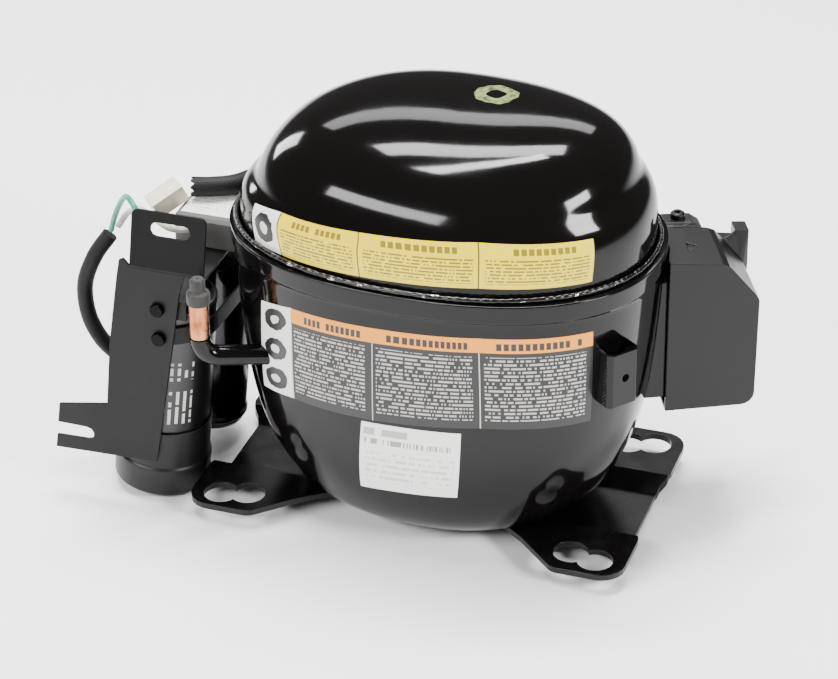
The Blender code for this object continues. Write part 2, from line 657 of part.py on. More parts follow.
def make_bracket():
    """One sheet: a tapered plate with a forked foot and a top flap that leans back over the relay."""
    def plate_place(u, v, w):
        return (u, BRACKET_Y + w, v)

    outline = [(-181.0, 23.4), (-127.0, 24.8), (-110.4, 122.0), (-107.4, 131.8), (-98.0, 132.4)]
    outline += [(-98.0, 133.8), (-135.5, 133.8), (-138.5, 137.0), (-140.6, 136.0), (-142.5, 126.0)]
    outline += [(-148.4, 88.0), (-151.8, 53.5), (-177.6, 48.8), (-179.0, 38.2)]
    outline += [(-165.0, 38.0), *arc((-163.4, 34.4), 3.4, 90, -90, 6), (-180.0, 30.6)]
    bracket = prism("capacitor_bracket", outline, 0.0, SHEET, plate_place, "black_sheet")
    lean = math.radians(14.0)
    flap_length = 29.0

    def flap_place(u, v, w):
        back, up = v * math.sin(lean) + w * math.cos(lean), v * math.cos(lean) - w * math.sin(lean)
        return (u, BRACKET_Y + back, FOLD_Z + up)

    radius = 3.0
    left, right = -135.4, -97.6
    flap = [(left, -0.6), (right, -0.6), *arc((right - radius, flap_length - radius), radius, 0, 90, 4)]
    flap += arc((left + radius, flap_length - radius), radius, 90, 180, 4)
    boolean(bracket, prism("bracket_flap", flap, 0.0, SHEET, flap_place), "UNION")
    slot_r, slot_v = 3.4, 20.5
    slot = arc((-108.6, slot_v), slot_r, -90, 90, 6) + arc((-122.4, slot_v), slot_r, 90, 270, 6)
    boolean(bracket, prism("bracket_slot", slot, -6.0, 8.0, flap_place))
    for z in (SHELF_SCREW_Z, STRAP_SCREW_Z):
        hole = Vector((SCREW_X, BRACKET_Y, z))
        way = rod(f"bracket_way_{z:.0f}", hole - Vector((0, 6, 0)), hole + Vector((0, 8, 0)), 2.1, steps=14)
        boolean(bracket, way)


def make_pack_hardware():
    back = BRACKET_Y + SHEET + GAP
    under = SHELF_Z - 1.2
    shelf = [(back, 107.0), (back + 1.2, 107.0), (back + 1.2, under)]
    shelf += [(38.0, under), (38.0, SHELF_Z), (back, SHELF_Z)]
    sheet = prism("relay_shelf", shelf, -136.0, -108.0, end_on, "black_sheet")
    hole = Vector((SCREW_X, back, SHELF_SCREW_Z))
    boolean(sheet, rod("shelf_screw_way", hole - Vector((0, 4, 0)), hole + Vector((0, 6, 0)), 2.1, steps=14))

    relay = [(-3.0, SHELF_Z + GAP), (36.0, SHELF_Z + GAP), (36.0, 133.0), (-1.2, 133.0), (-3.0, 131.2)]
    prism("start_relay", relay, -135.0, -104.0, end_on, "grey_plastic")

    strap_low, strap_high = 91.0, 100.0
    height = (strap_low + strap_high) / 2
    start_x = START_CAP[0] + math.tan(START_LEAN) * (height - START_FOOT)
    run_x = RUN_CAP[0] + math.tan(RUN_LEAN) * (height - RUN_FOOT)

    def band(grow):
        around = arc((start_x, START_CAP[1]), START_R + grow, 180, 360, 18)
        return around + arc((run_x, RUN_CAP[1]), RUN_R + grow, 0, 180, 18)

    strap = prism("capacitor_strap", band(2.0), strap_low, strap_high, flat, "black_sheet")
    boolean(strap, prism("strap_hollow", band(1.0), strap_low - 5, strap_high + 5, flat))
    front = BRACKET_Y - GAP
    screws = (("shelf_screw", SHELF_SCREW_Z, back + 3.4), ("strap_screw", STRAP_SCREW_Z, back + 0.2))
    for name, z, deep in screws:
        head = [(3.2, -2.0), (3.6, -1.2), (3.6, 0.0), (1.75, 0.0), (1.75, deep - front)]
        turned(name, head, "steel", (SCREW_X, front, z), (0, 1, 0), 18)


def make_wiring():
    connector = [(-6.0, -4.2), (6.0, -4.2), (6.0, 4.2), (-6.0, 4.2)]
    start, end = Vector((-149.0, 2.0, 132.0)), Vector((-137.5, 13.0, 139.5))
    axis = (end - start).normalized()
    side = axis.cross(Vector((0, 0, 1))).normalized()
    lift = side.cross(axis)
    prism("connector_housing", connector, 0.0, (end - start).length,
          lambda u, v, w: start + side * u + lift * v + axis * w, "cream_nylon")
    tube("harness_sleeve", smooth_route(HARNESS_ROUTE, 9.0), 5.0, "black_sleeve")
    tube("cable_loop", smooth_route(LOOP_ROUTE, 7.0), 4.0, "black_sleeve")
    tube("ground_wire", smooth_route(GROUND_ROUTE, 5.0), 1.4, "green_wire", 2)
    tube("line_wire", smooth_route(LINE_ROUTE, 5.0), 1.6, "white_wire", 2)


# ---- motor and pump, inside the shell --------------------------------------------------------------

def pump_point(x=0.0, y=0.0, z=0.0):
    return Vector((PUMP_X + x, PUMP_Y + y, z))


def make_motor():
    axis_foot = pump_point()
    ring_of("stator_core", STATOR_BORE, STATOR_R, STATOR_LOW, STATOR_HIGH, "lamination", axis_foot, steps=48,
            origin=tuple(axis_foot))
    top = [(44.0, STATOR_HIGH + GAP), (42.0, STATOR_HIGH + 9.0), (38.0, STATOR_HIGH + 10.5)]
    top += [(33.0, STATOR_HIGH + 9.0), (31.0, STATOR_HIGH + GAP)]
    turned("upper_winding", top, "winding", axis_foot, (0, 0, 1), 36, True, tuple(axis_foot))
    low = [(31.0, STATOR_LOW - GAP), (33.0, STATOR_LOW - 9.0), (38.0, STATOR_LOW - 11.0)]
    low += [(42.0, STATOR_LOW - 9.0), (44.0, STATOR_LOW - GAP)]
    turned("lower_winding", low, "winding", axis_foot, (0, 0, 1), 36, True, tuple(axis_foot))
    ring_of("rotor_core", SHAFT_R + GAP, ROTOR_R, STATOR_LOW + 2, STATOR_HIGH - 2, "aluminium", axis_foot,
            steps=48, origin=tuple(axis_foot))


def make_block():
    hub = ring_of("cylinder_block", BEARING_R, 15.5, 103.0, 127.5, "cast_iron", pump_point(), steps=32,
                  origin=tuple(pump_point()))
    deck = [(-62.0, -16.0), (-46.0, -16.0), (-40.0, -41.0), (35.0, -41.0), (41.0, -35.0), (41.0, 35.0)]
    deck += [(35.0, 41.0), (-40.0, 41.0), (-46.0, 16.0), (-62.0, 16.0)]
    outline = [(PUMP_X + x, PUMP_Y + y) for x, y in deck]
    deck_solid = prism("deck", outline, 112.5, 120.5, flat)
    boolean(deck_solid, rod("deck_way", pump_point(z=100), pump_point(z=140), BEARING_R + 3.0, steps=32))
    boolean(hub, deck_solid, "UNION")
    for index, (x, y) in enumerate(((-LEG, -LEG), (LEG, -LEG), (LEG, LEG), (-LEG, LEG))):
        foot = pump_point(x, y, STATOR_HIGH + GAP)
        boolean(hub, rod(f"leg_{index}", foot, pump_point(x, y, 116), 4.6, steps=14), "UNION")
    near, far = (BARREL_NEAR, PUMP_Y, CYLINDER_Z), (BARREL_FAR, PUMP_Y, CYLINDER_Z)
    boolean(hub, rod("barrel", near, far, BARREL_R, steps=36), "UNION")
    low, high = (BARREL_FAR, PUMP_Y - 23, CYLINDER_Z - 23), (BARREL_FAR + 7, PUMP_Y + 23, CYLINDER_Z + 23)
    boolean(hub, box("head_flange", low, high), "UNION")
    start, end = (BARREL_NEAR + 20, PUMP_Y, CYLINDER_Z), (BARREL_FAR - 20, PUMP_Y, CYLINDER_Z)
    boolean(hub, rod("bore_way", start, end, BORE_R, steps=40))


def make_crank():
    foot = pump_point()
    journal = [(SHAFT_R - 3, 32.0), (SHAFT_R, 36.0), (SHAFT_R, 128.4)]
    shaft = turned("crankshaft", journal, "steel", foot, (0, 0, 1), 32, False, tuple(foot))
    sweep = arc((0, 0), 26.0, 205, 335, 12)
    web = [*sweep, *arc((0, CRANK_THROW), 10.5, -20, 200, 10)]
    outline = [(PUMP_X + x, PUMP_Y + y) for x, y in web]
    boolean(shaft, prism("crank_web", outline, 127.9, 133.4, flat), "UNION")
    weight = [(PUMP_X + x, PUMP_Y + y) for x, y in [*sweep, (10.0, -16.8), (-10.0, -16.8)]]
    boolean(shaft, prism("counterweight", weight, 121.6, 130.0, flat), "UNION")
    pin_low, pin_high = pump_point(y=CRANK_THROW, z=132.8), pump_point(y=CRANK_THROW, z=147.0)
    boolean(shaft, rod("crank_pin", pin_low, pin_high, CRANK_PIN_R, steps=24), "UNION")
    cone = [(2.4, 15.0), (3.2, 17.0), (5.4, 31.6)]
    turned("oil_pickup", cone, "steel", foot, (0, 0, 1), 18, False, tuple(foot))


def make_rod_and_piston():
    big = pump_point(0, CRANK_THROW, CYLINDER_Z)
    small = big - Vector((ROD_LENGTH, 0, 0))
    up = Vector((0, 0, 4.0))
    conrod = ring_of("connecting_rod", BIG_END_R, 11.0, -5.0, 5.0, "cast_iron", big, steps=32,
                     origin=tuple(big))
    low, high = (small.x + 2.0, big.y - 3.2, CYLINDER_Z - 3.0), (big.x - 8.6, big.y + 3.2, CYLINDER_Z + 3.0)
    boolean(conrod, box("rod_shank", low, high), "UNION")
    eye = rod("rod_eye", small - up, small + up, 5.0, steps=24)
    boolean(conrod, eye, "UNION")
    boolean(conrod, rod("rod_eye_way", small - up * 2, small + up * 2, 3.35, steps=20))
    rod("wrist_pin", small - up * 1.8, small + up * 1.8, 3.0, "steel", 16, tuple(big))

    crown, skirt = -57.0, -29.0
    profile = [(PISTON_R, skirt), (PISTON_R, crown), (0.5, crown), (0.5, crown + 4.0)]
    profile += [(PISTON_HOLLOW, crown + 4.0), (PISTON_HOLLOW, skirt)]
    turned("piston", profile, "aluminium", (0, PUMP_Y, CYLINDER_Z), (1, 0, 0), 36, True,
           (crown, PUMP_Y, CYLINDER_Z))


def make_head():
    far, near = VALVE_PLATE
    half = 22.6
    low = (far, PUMP_Y - half, CYLINDER_Z - half)
    high = (near, PUMP_Y + half, CYLINDER_Z + half)
    plate = box("valve_plate", low, high, "steel", tuple(pump_point()))
    for name, y in (("suction_port", -5.5), ("discharge_port", 5.5)):
        start = Vector((far - 5, PUMP_Y + y, CYLINDER_Z))
        boolean(plate, rod(name, start, start + Vector((12, 0, 0)), 2.8, steps=16))
    head_near = far - GAP
    head_low, head_high = (HEAD_FAR, low[1], low[2]), (head_near, high[1], high[2])
    head = box("cylinder_head", head_low, head_high, "cast_iron", tuple(pump_point()))
    for name, y0, y1 in (("head_suction", -15.0, -1.2), ("head_discharge", 1.2, 15.0)):
        near_corner = (HEAD_FAR + 4, PUMP_Y + y0, CYLINDER_Z - 15)
        far_corner = (head_near + 6, PUMP_Y + y1, CYLINDER_Z + 15)
        boolean(head, box(name, near_corner, far_corner))
    for index, (y, z) in enumerate(((-18.6, -18.6), (18.6, 18.6))):
        centre = Vector((HEAD_FAR, PUMP_Y + y, CYLINDER_Z + z))
        start, end = centre - Vector((8, 0, 0)), centre + Vector((30, 0, 0))
        for owner in (plate, head):
            boolean(owner, rod(f"screw_way_{owner.name}_{index}", start, end, 2.3, steps=12))
        bolt = [(3.8, -3.4), (3.8, -GAP), (1.9, -GAP), (1.9, -HEAD_FAR + BARREL_FAR - GAP)]
        turned(f"head_screw_{index + 1}", bolt, "steel", centre, (1, 0, 0), 14, False, tuple(pump_point()))
    hinge_z = CYLINDER_Z + 13.0
    box("suction_reed", (-66.1, PUMP_Y - 8.5, CYLINDER_Z - 6), (-65.7, PUMP_Y - 2.5, hinge_z), "steel",
        (-65.7, PUMP_Y - 5.5, hinge_z))
    reed_far = far - GAP
    low, high = (reed_far - 0.5, PUMP_Y + 2.5, CYLINDER_Z - 6), (reed_far, PUMP_Y + 8.5, hinge_z)
    box("discharge_reed", low, high, "steel", (reed_far, PUMP_Y + 5.5, hinge_z))


def make_gas_path():
    muffler = [(-60.0, 28.0), (-34.0, 28.0), (-30.0, 32.0), (-30.0, 42.0), (-34.0, 45.0)]
    muffler += [(-60.0, 45.0), (-63.0, 42.0), (-63.0, 31.0)]
    prism("suction_muffler", muffler, 128.0, 158.0, flat, "cream_nylon", tuple(pump_point()))
    route = [
        (-77.0, -22.4, 146.0), (-73.0, -34.0, 145.0), (-55.0, -50.0, 140.0), (-25.0, -58.0, 130.0),
        (15.0, -60.0, 116.0), (50.0, -52.0, 102.0), (76.0, -28.0, 92.0), (83.0, 2.0, 86.0),
        (72.0, 34.0, 84.0), (45.0, 55.0, 84.0),
        (10.0, 61.5, 84.0), (-22.0, 57.5, 82.0), (-42.0, 46.0, 80.0),
    ]
    tube("discharge_loop", smooth_route(route, 11.0), 2.6, "copper", 2)


def make_springs():
    steps = SPRING_TURNS * SPRING_STEPS
    travel = SPRING_HIGH - SPRING_LOW - 2 * SPRING_WIRE_R
    for index in range(4):
        angle = math.radians(45 + 90 * index)
        x, y = SPRING_RADIUS * math.cos(angle), SPRING_RADIUS * math.sin(angle)
        centre = pump_point(x, y, SPRING_LOW + SPRING_WIRE_R)
        route = []
        for i in range(steps + 1):
            swing = 2 * math.pi * i / SPRING_STEPS
            across, along = SPRING_COIL_R * math.cos(swing), SPRING_COIL_R * math.sin(swing)
            route.append(centre + Vector((across, along, travel * i / steps)))
        tube(f"suspension_spring_{index + 1}", route, SPRING_WIRE_R, "steel", 1)


def main():
    clear_scene()
    make_base()
    make_shell()
    make_service_bracket()
    make_terminal()
    make_cover()
    make_stubs()
    make_capacitors()
    make_bracket()
    make_pack_hardware()
    make_wiring()
    make_motor()
    make_block()
    make_crank()
    make_rod_and_piston()
    make_head()
    make_gas_path()
    make_springs()


main()
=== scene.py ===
"""Hermetic reciprocating compressor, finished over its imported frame.

The frame gives the machine's bodies, and every surface here rides on one of them. Lengths in this file
are millimetres in the frame's own axes: +Z up, +X towards the terminal cover, the origin under the middle
of the base plate. They become metres where a mesh is made.
"""

import math

import bpy
import numpy as np
from bpy.props import FloatProperty, FloatVectorProperty, IntProperty, PointerProperty
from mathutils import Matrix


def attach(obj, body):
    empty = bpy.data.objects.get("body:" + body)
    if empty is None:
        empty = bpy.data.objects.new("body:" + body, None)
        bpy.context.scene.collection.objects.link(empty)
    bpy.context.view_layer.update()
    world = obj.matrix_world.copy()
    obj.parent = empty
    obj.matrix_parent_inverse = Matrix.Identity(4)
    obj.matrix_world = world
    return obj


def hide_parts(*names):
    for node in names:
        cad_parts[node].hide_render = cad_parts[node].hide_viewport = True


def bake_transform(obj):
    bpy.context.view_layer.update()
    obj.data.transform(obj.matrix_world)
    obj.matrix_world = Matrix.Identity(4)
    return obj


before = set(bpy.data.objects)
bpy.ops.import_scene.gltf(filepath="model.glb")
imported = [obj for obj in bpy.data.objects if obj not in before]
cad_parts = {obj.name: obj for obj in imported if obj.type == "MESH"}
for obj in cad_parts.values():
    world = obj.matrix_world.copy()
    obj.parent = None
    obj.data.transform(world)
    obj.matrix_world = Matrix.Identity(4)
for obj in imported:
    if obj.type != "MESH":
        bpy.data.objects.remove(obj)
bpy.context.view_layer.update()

bl_info = {
    "name": "Hermetic Reciprocating Compressor",
    "version": (1, 0, 0),
    "blender": (4, 5, 0),
    "location": "3D Viewport > Sidebar > Compressor",
    "description": "Finishes a hermetic compressor: enamelled shell, labels, stubs, wiring and capacitors",
    "category": "Object",
}

MM = 0.001
SHARP_ANGLE = math.radians(38)
POLE = 0.02  # the least radius of a closing ring, so that no face folds
SHELL_X, SHELL_Y = 4.2, 1.4
RIM = 149.0
WALL = 3.0

BOWL_DEPTH = 145.6
BOWL_HALF_X, BOWL_HALF_Y = 104.6, 73.6
BOWL_TAPER = 0.083
BOWL_END_POWER, BOWL_SIDE_POWER, BOWL_LEVEL_POWER = 4.07, 5.6, 2.28

DOME_HEIGHT = 63.8
DOME_DRIFT = 5.5
DOME_LEFT, DOME_LEFT_POWER = 95.3, 2.54
DOME_RIGHT, DOME_RIGHT_POWER = 92.9, 4.2
DOME_SIDE, DOME_SIDE_POWER = 70.3, 2.69
LEFT_SHOULDER, LEFT_SHOULDER_HEIGHT = 100.8, 27.0
RIGHT_SHOULDER, RIGHT_SHOULDER_HEIGHT = 100.0, 42.0
SHOULDER_POWER, DOME_LEVEL_POWER = 4.4, 2.18
JOIN = 40  # the power of the mean that joins crown and shoulder: the higher, the sharper the join


# ---- surfaces --------------------------------------------------------------------------------------

def fall(share, power):
    """A superellipse quarter: 1 at share 0, 0 at share 1, the power-th root of 1 - share^power."""
    return np.clip(1 - np.clip(share, 0, 1) ** power, 0, 1) ** (1 / power)


def level_ring(angle, left, right, width, power):
    """x and y of a superellipse: the half sizes times cosine and sine raised to 2/power, signs kept."""
    c, s = np.cos(angle), np.sin(angle)
    x = np.where(c > 0, right, left) * np.sign(c) * np.abs(c) ** (2 / power)
    return x, width * np.sign(s) * np.abs(s) ** (2 / power)


def bowl(angle, z, out=0.0):
    """Points of the lower shell: its half sizes shrink by the taper over its depth and close along two
    superellipse quarters, one for the ends and one for the sides. out carries a point off the surface."""
    share = np.clip((RIM - z) / BOWL_DEPTH, 0, 1)
    narrow = 1 - BOWL_TAPER * share
    half_x = np.maximum(BOWL_HALF_X * narrow * fall(share, BOWL_END_POWER) + out, POLE)
    half_y = np.maximum(BOWL_HALF_Y * narrow * fall(share, BOWL_SIDE_POWER) + out, POLE)
    x, y = level_ring(angle, half_x, half_x, half_y, BOWL_LEVEL_POWER)
    return np.stack(np.broadcast_arrays(SHELL_X + x, SHELL_Y + y, z), axis=-1)


def dome(angle, share, out=0.0):
    """Points of the upper shell at a share of its height. Each end is the larger, smoothly joined, of a
    crown and a lower shoulder, and the whole drifts back towards its top."""
    z = share * DOME_HEIGHT
    ends = []
    for crown, power, shoulder, height in (
        (DOME_LEFT, DOME_LEFT_POWER, LEFT_SHOULDER, LEFT_SHOULDER_HEIGHT),
        (DOME_RIGHT, DOME_RIGHT_POWER, RIGHT_SHOULDER, RIGHT_SHOULDER_HEIGHT),
    ):
        high, low = crown * fall(share, power), shoulder * fall(z / height, SHOULDER_POWER)
        ends.append(np.maximum((high**JOIN + low**JOIN) ** (1 / JOIN) + out, POLE))
    width = np.maximum(DOME_SIDE * fall(share, DOME_SIDE_POWER) + out, POLE)
    x, y = level_ring(angle, ends[0], ends[1], width, DOME_LEVEL_POWER)
    rise = np.clip(out, 0, None) * share**4
    y = SHELL_Y + DOME_DRIFT * share + y
    return np.stack(np.broadcast_arrays(SHELL_X + x, y, RIM + z + rise), axis=-1)


def dome_share(x, y):
    """The share of height at which the dome passes over a point: halve the span until the point is on it."""
    low, high = np.zeros_like(x), np.ones_like(x)
    for _ in range(40):
        mid = (low + high) / 2
        left, right = DOME_LEFT * fall(mid, DOME_LEFT_POWER), DOME_RIGHT * fall(mid, DOME_RIGHT_POWER)
        wide = DOME_SIDE * fall(mid, DOME_SIDE_POWER)
        across = np.abs(x - SHELL_X) / (np.where(x > SHELL_X, right, left) + 1e-6)
        along = np.abs(y - SHELL_Y - DOME_DRIFT * mid) / (wide + 1e-6)
        within = across**DOME_LEVEL_POWER + along**DOME_LEVEL_POWER < 1
        low, high = np.where(within, mid, low), np.where(within, high, mid)
    return low


def smooth_route(points, count):
    """Evenly spaced points on a smooth curve through the given ones: a cubic between each pair whose
    slope at a point is half the step between that point's neighbours."""
    p = np.array(points, dtype=float)
    p = np.vstack([2 * p[0] - p[1], p, 2 * p[-1] - p[-2]])
    t = np.linspace(0, 1, 24, endpoint=False)[None, :, None]
    a, b, c, d = (q[:, None, :] for q in (p[:-3], p[1:-2], p[2:-1], p[3:]))
    square, cube = 2 * a - 5 * b + 4 * c - d, 3 * b - a - 3 * c + d
    curve = 0.5 * (2 * b + (c - a) * t + square * t**2 + cube * t**3)
    curve = np.vstack([curve.reshape(-1, 3), p[-2]])
    run = np.concatenate([[0], np.cumsum(np.linalg.norm(np.diff(curve, axis=0), axis=1))])
    at = np.linspace(0, run[-1], count)
    return np.column_stack([np.interp(at, run, curve[:, i]) for i in range(3)])


def elbow_route(start, corner, end, bend):
    """A straight run, a quarter turn of radius bend about the corner, and a straight run: the turn is the
    corner's inner centre plus the two run directions weighed by sine and cosine."""
    start, corner, end = (np.array(p, dtype=float) for p in (start, corner, end))
    back = (start - corner) / np.linalg.norm(start - corner)
    ahead = (end - corner) / np.linalg.norm(end - corner)
    turn = np.linspace(0, math.pi / 2, 16)[:, None]
    centre = corner + (back + ahead) * bend
    arc = centre - ahead * bend * np.cos(turn) - back * bend * np.sin(turn)
    first = start + (arc[0] - start) * np.linspace(0, 1, 8)[:-1, None]
    last = arc[-1] + (end - arc[-1]) * np.linspace(0, 1, 6)[1:, None]
    return np.vstack([first, arc, last])


def tube_grid(route, radius, sides, level):
    """Rings square to a route: the ring's first axis is the slope crossed with a fixed level vector that
    is never along the route, and its second is the slope crossed with the first."""
    slope = np.gradient(route, axis=0)
    slope /= np.linalg.norm(slope, axis=1, keepdims=True)
    first = np.cross(slope, np.array(level, dtype=float))
    first /= np.linalg.norm(first, axis=1, keepdims=True)
    second = np.cross(slope, first)
    angle = np.linspace(0, 2 * math.pi, sides, endpoint=False)[None, :, None]
    radius = np.broadcast_to(np.asarray(radius, dtype=float).reshape(-1, 1, 1), (len(route), 1, 1))
    return route[:, None] + radius * (first[:, None] * np.cos(angle) + second[:, None] * np.sin(angle))


def eased(profile, radius, steps=5):
    """A profile with each corner cut back by radius along both sides and joined by a parabola."""
    p = np.array(profile, dtype=float)
    before, corner, after = p[:-2], p[1:-1], p[2:]
    back, ahead = before - corner, after - corner
    reach_b = np.linalg.norm(back, axis=1, keepdims=True)
    reach_a = np.linalg.norm(ahead, axis=1, keepdims=True)
    a = corner + back / reach_b * np.minimum(radius, reach_b * 0.45)
    c = corner + ahead / reach_a * np.minimum(radius, reach_a * 0.45)
    t = np.linspace(0, 1, steps)[None, :, None]
    curve = (1 - t) ** 2 * a[:, None] + 2 * t * (1 - t) * corner[:, None] + t**2 * c[:, None]
    return np.vstack([p[:1], curve.reshape(-1, 2), p[-1:]])


def turned_grid(profile, foot, axis, sides):
    """A profile of (radius, height) carried round an axis that stands on foot."""
    along = np.array(axis, dtype=float)
    along /= np.linalg.norm(along)
    helper = np.array([0.0, 1.0, 0.0]) if abs(along[1]) < 0.9 else np.array([1.0, 0.0, 0.0])
    first = np.cross(helper, along)
    first /= np.linalg.norm(first)
    second = np.cross(along, first)
    angle = np.linspace(0, 2 * math.pi, sides, endpoint=False)[None, :, None]
    radius, height = profile[:, 0, None, None], profile[:, 1, None, None]
    round_axis = radius * (first * np.cos(angle) + second * np.sin(angle))
    return np.array(foot, dtype=float) + along * height + round_axis


# ---- meshes ----------------------------------------------------------------------------------------

def make_piece(name, points, faces, uv, finish, body, replaces):
    """One finished piece that rides on a body, or on none."""
    mesh = bpy.data.meshes.new(name)
    mesh.from_pydata((points.reshape(-1, 3) * MM).tolist(), [], faces)
    layer = mesh.uv_layers.new(name="UVMap")
    layer.data.foreach_set("uv", uv.reshape(-1).astype(np.float32))
    mesh.shade_smooth()
    mesh.set_sharp_from_angle(angle=SHARP_ANGLE)
    mesh.materials.append(finish)
    obj = bpy.data.objects.new(name, mesh)
    bpy.context.scene.collection.objects.link(obj)
    if body:
        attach(obj, body)
    if replaces:
        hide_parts(*replaces)
    return obj


def wrapped(name, grid, finish, body="housing", replaces=(), ring=False):
    """One quad to a grid cell, the columns closed on themselves. The end rows are filled with a flat face,
    or joined to each other in a ring. The faces are turned outwards by the sign of the volume. On the UV
    map u goes round and v is the distance run along the rows, as a share of the whole."""
    rows, cols, _ = grid.shape
    count = rows if ring else rows - 1
    row, col = np.meshgrid(np.arange(count), np.arange(cols), indexing="ij")
    ahead = (row + 1) % rows
    beside = (col + 1) % cols
    here, there = row * cols, ahead * cols
    quads = np.stack([here + col, here + beside, there + beside, there + col], axis=-1).reshape(-1, 4)
    step = np.linalg.norm(np.roll(grid, -1, axis=0) - grid, axis=2).mean(axis=1)[:count]
    height = np.concatenate([[0.0], np.cumsum(step)]) / step.sum()
    uv = np.stack([np.stack([c / cols, height[r]], axis=-1)
                   for c, r in ((col, row), (col + 1, row), (col + 1, row + 1), (col, row + 1))], axis=2)
    uv = uv.reshape(-1, 4, 2)
    p = grid.reshape(-1, 3) - grid.reshape(-1, 3).mean(axis=0)
    a, b, c, d = (p[quads[:, i]] for i in range(4))
    volume = np.einsum("ij,ij->", a, np.cross(b, c)) + np.einsum("ij,ij->", a, np.cross(c, d))
    ends = [] if ring else [list(range(cols - 1, -1, -1)), list(range((rows - 1) * cols, rows * cols))]
    if volume < 0:
        quads, uv = quads[:, ::-1], uv[:, ::-1]
        ends = [end[::-1] for end in ends]
    corners = np.vstack([uv.reshape(-1, 2), np.zeros((len(ends) * cols, 2))])
    return make_piece(name, grid, quads.tolist() + ends, corners, finish, body, replaces)


def slab(name, top, under, finish, body="housing", replaces=()):
    """Two matching grids, one just off the other, joined round their edge into a thin closed sheet."""
    rows, cols, _ = top.shape
    total = rows * cols
    i = np.arange(total).reshape(rows, cols)
    edge = np.concatenate([i[0, :-1], i[:-1, -1], i[-1, :0:-1], i[:0:-1, 0]])
    ahead = np.roll(edge, -1)
    sheets = [
        (i[:-1, :-1], i[:-1, 1:], i[1:, 1:], i[1:, :-1]),
        (i[:-1, :-1] + total, i[1:, :-1] + total, i[1:, 1:] + total, i[:-1, 1:] + total),
        (ahead, edge, edge + total, ahead + total),
    ]
    quads = np.vstack([np.stack(four, axis=-1).reshape(-1, 4) for four in sheets])
    v, u = np.meshgrid(np.linspace(0, 1, rows), np.linspace(0, 1, cols), indexing="ij")
    place = np.stack([u, v], axis=-1).reshape(-1, 2)
    uv = np.vstack([place, place])[quads.reshape(-1)]
    points = np.vstack([top.reshape(-1, 3), under.reshape(-1, 3)])
    corner, beside, above = points[quads[0, [0, 1, 3]]]
    if np.cross(beside - corner, above - corner) @ (top[0, 0] - under[0, 0]) < 0:
        quads = quads[:, ::-1]
        uv = uv.reshape(-1, 4, 2)[:, ::-1].reshape(-1, 2)
    return make_piece(name, points, quads.tolist(), uv, finish, body, replaces)


# ---- materials -------------------------------------------------------------------------------------

def linear(hex_colour):
    """An sRGB hex colour as linear red, green, blue and an alpha of 1."""
    levels = [int(hex_colour[i:i + 2], 16) / 255 for i in (1, 3, 5)]
    return (*(v / 12.92 if v <= 0.04045 else ((v + 0.055) / 1.055) ** 2.4 for v in levels), 1.0)


def fill(node, sockets):
    """Gives sockets their values: a node or one of its outputs is linked, and a hex colour turned linear."""
    for key, value in sockets.items():
        if isinstance(value, bpy.types.Node):
            value = next(output for output in value.outputs if output.enabled)
        if isinstance(value, bpy.types.NodeSocket):
            node.id_data.links.new(value, node.inputs[key])
        else:
            node.inputs[key].default_value = linear(value) if isinstance(value, str) else value


def add(tree, kind, *values, sockets=None, stops=(), **settings):
    """One node with its settings. values fill its sockets in order and sockets by name or number, and a
    ramp runs through its (position, hex colour) stops."""
    node = tree.nodes.new("ShaderNode" + kind)
    for key, value in settings.items():
        setattr(node, key, value)
    if stops:
        for _ in stops[2:]:
            node.color_ramp.elements.new(0.5)
        for element, (position, colour) in zip(node.color_ramp.elements, stops):
            element.position = position
            element.color = linear(colour)
    fill(node, {**dict(enumerate(values)), **(sockets or {})})
    return node


def shaded(name, colour, roughness, **constants):
    """A material with a Principled shader whose constant values sit on its own sockets."""
    made = bpy.data.materials.new(name)
    made.use_nodes = True
    shader = made.node_tree.nodes["Principled BSDF"]
    named = {key.replace("_", " "): value for key, value in constants.items()}
    fill(shader, {"Base Color": colour, "Roughness": roughness, **named})
    return made, made.node_tree, shader


def clouds(tree, size, detail=2.0, stretch=(1.0, 1.0, 1.0)):
    """Cloudy variation whose patches are about size millimetres across, on object coordinates."""
    place = add(tree, "TexCoord").outputs["Object"]
    spread = add(tree, "Mapping", sockets={"Vector": place, "Scale": stretch})
    return add(tree, "TexNoise", sockets={"Vector": spread, "Scale": 1 / (size * MM), "Detail": detail})


def relief(tree, shader, height, depth, edge=0.0):
    """A bump of depth millimetres. edge rounds the look of sharp CAD corners by that radius."""
    sockets = {"Height": height, "Distance": depth * MM, "Strength": 1.0}
    if edge:
        sockets["Normal"] = add(tree, "Bevel", edge * MM, samples=6)
    fill(shader, {"Normal": add(tree, "Bump", sockets=sockets)})


def skin_axes(tree):
    """The two directions of a piece's own UV map."""
    parts = add(tree, "SeparateXYZ", add(tree, "UVMap", uv_map="UVMap"))
    return parts.outputs["X"], parts.outputs["Y"]


def overlap(tree, *masks):
    """The masks multiplied together: 1 only where every one of them is."""
    inside = masks[0]
    for mask in masks[1:]:
        inside = add(tree, "Math", inside, mask, operation="MULTIPLY")
    return inside


def band(tree, value, low, high):
    """1 between two values and 0 outside them."""
    above = add(tree, "Math", value, low, operation="GREATER_THAN")
    return overlap(tree, above, add(tree, "Math", value, high, operation="LESS_THAN"))


def third(tree, across):
    """The place across one of a label's three equal panels."""
    return add(tree, "Math", add(tree, "Math", across, 3, operation="MULTIPLY"), operation="FRACT")


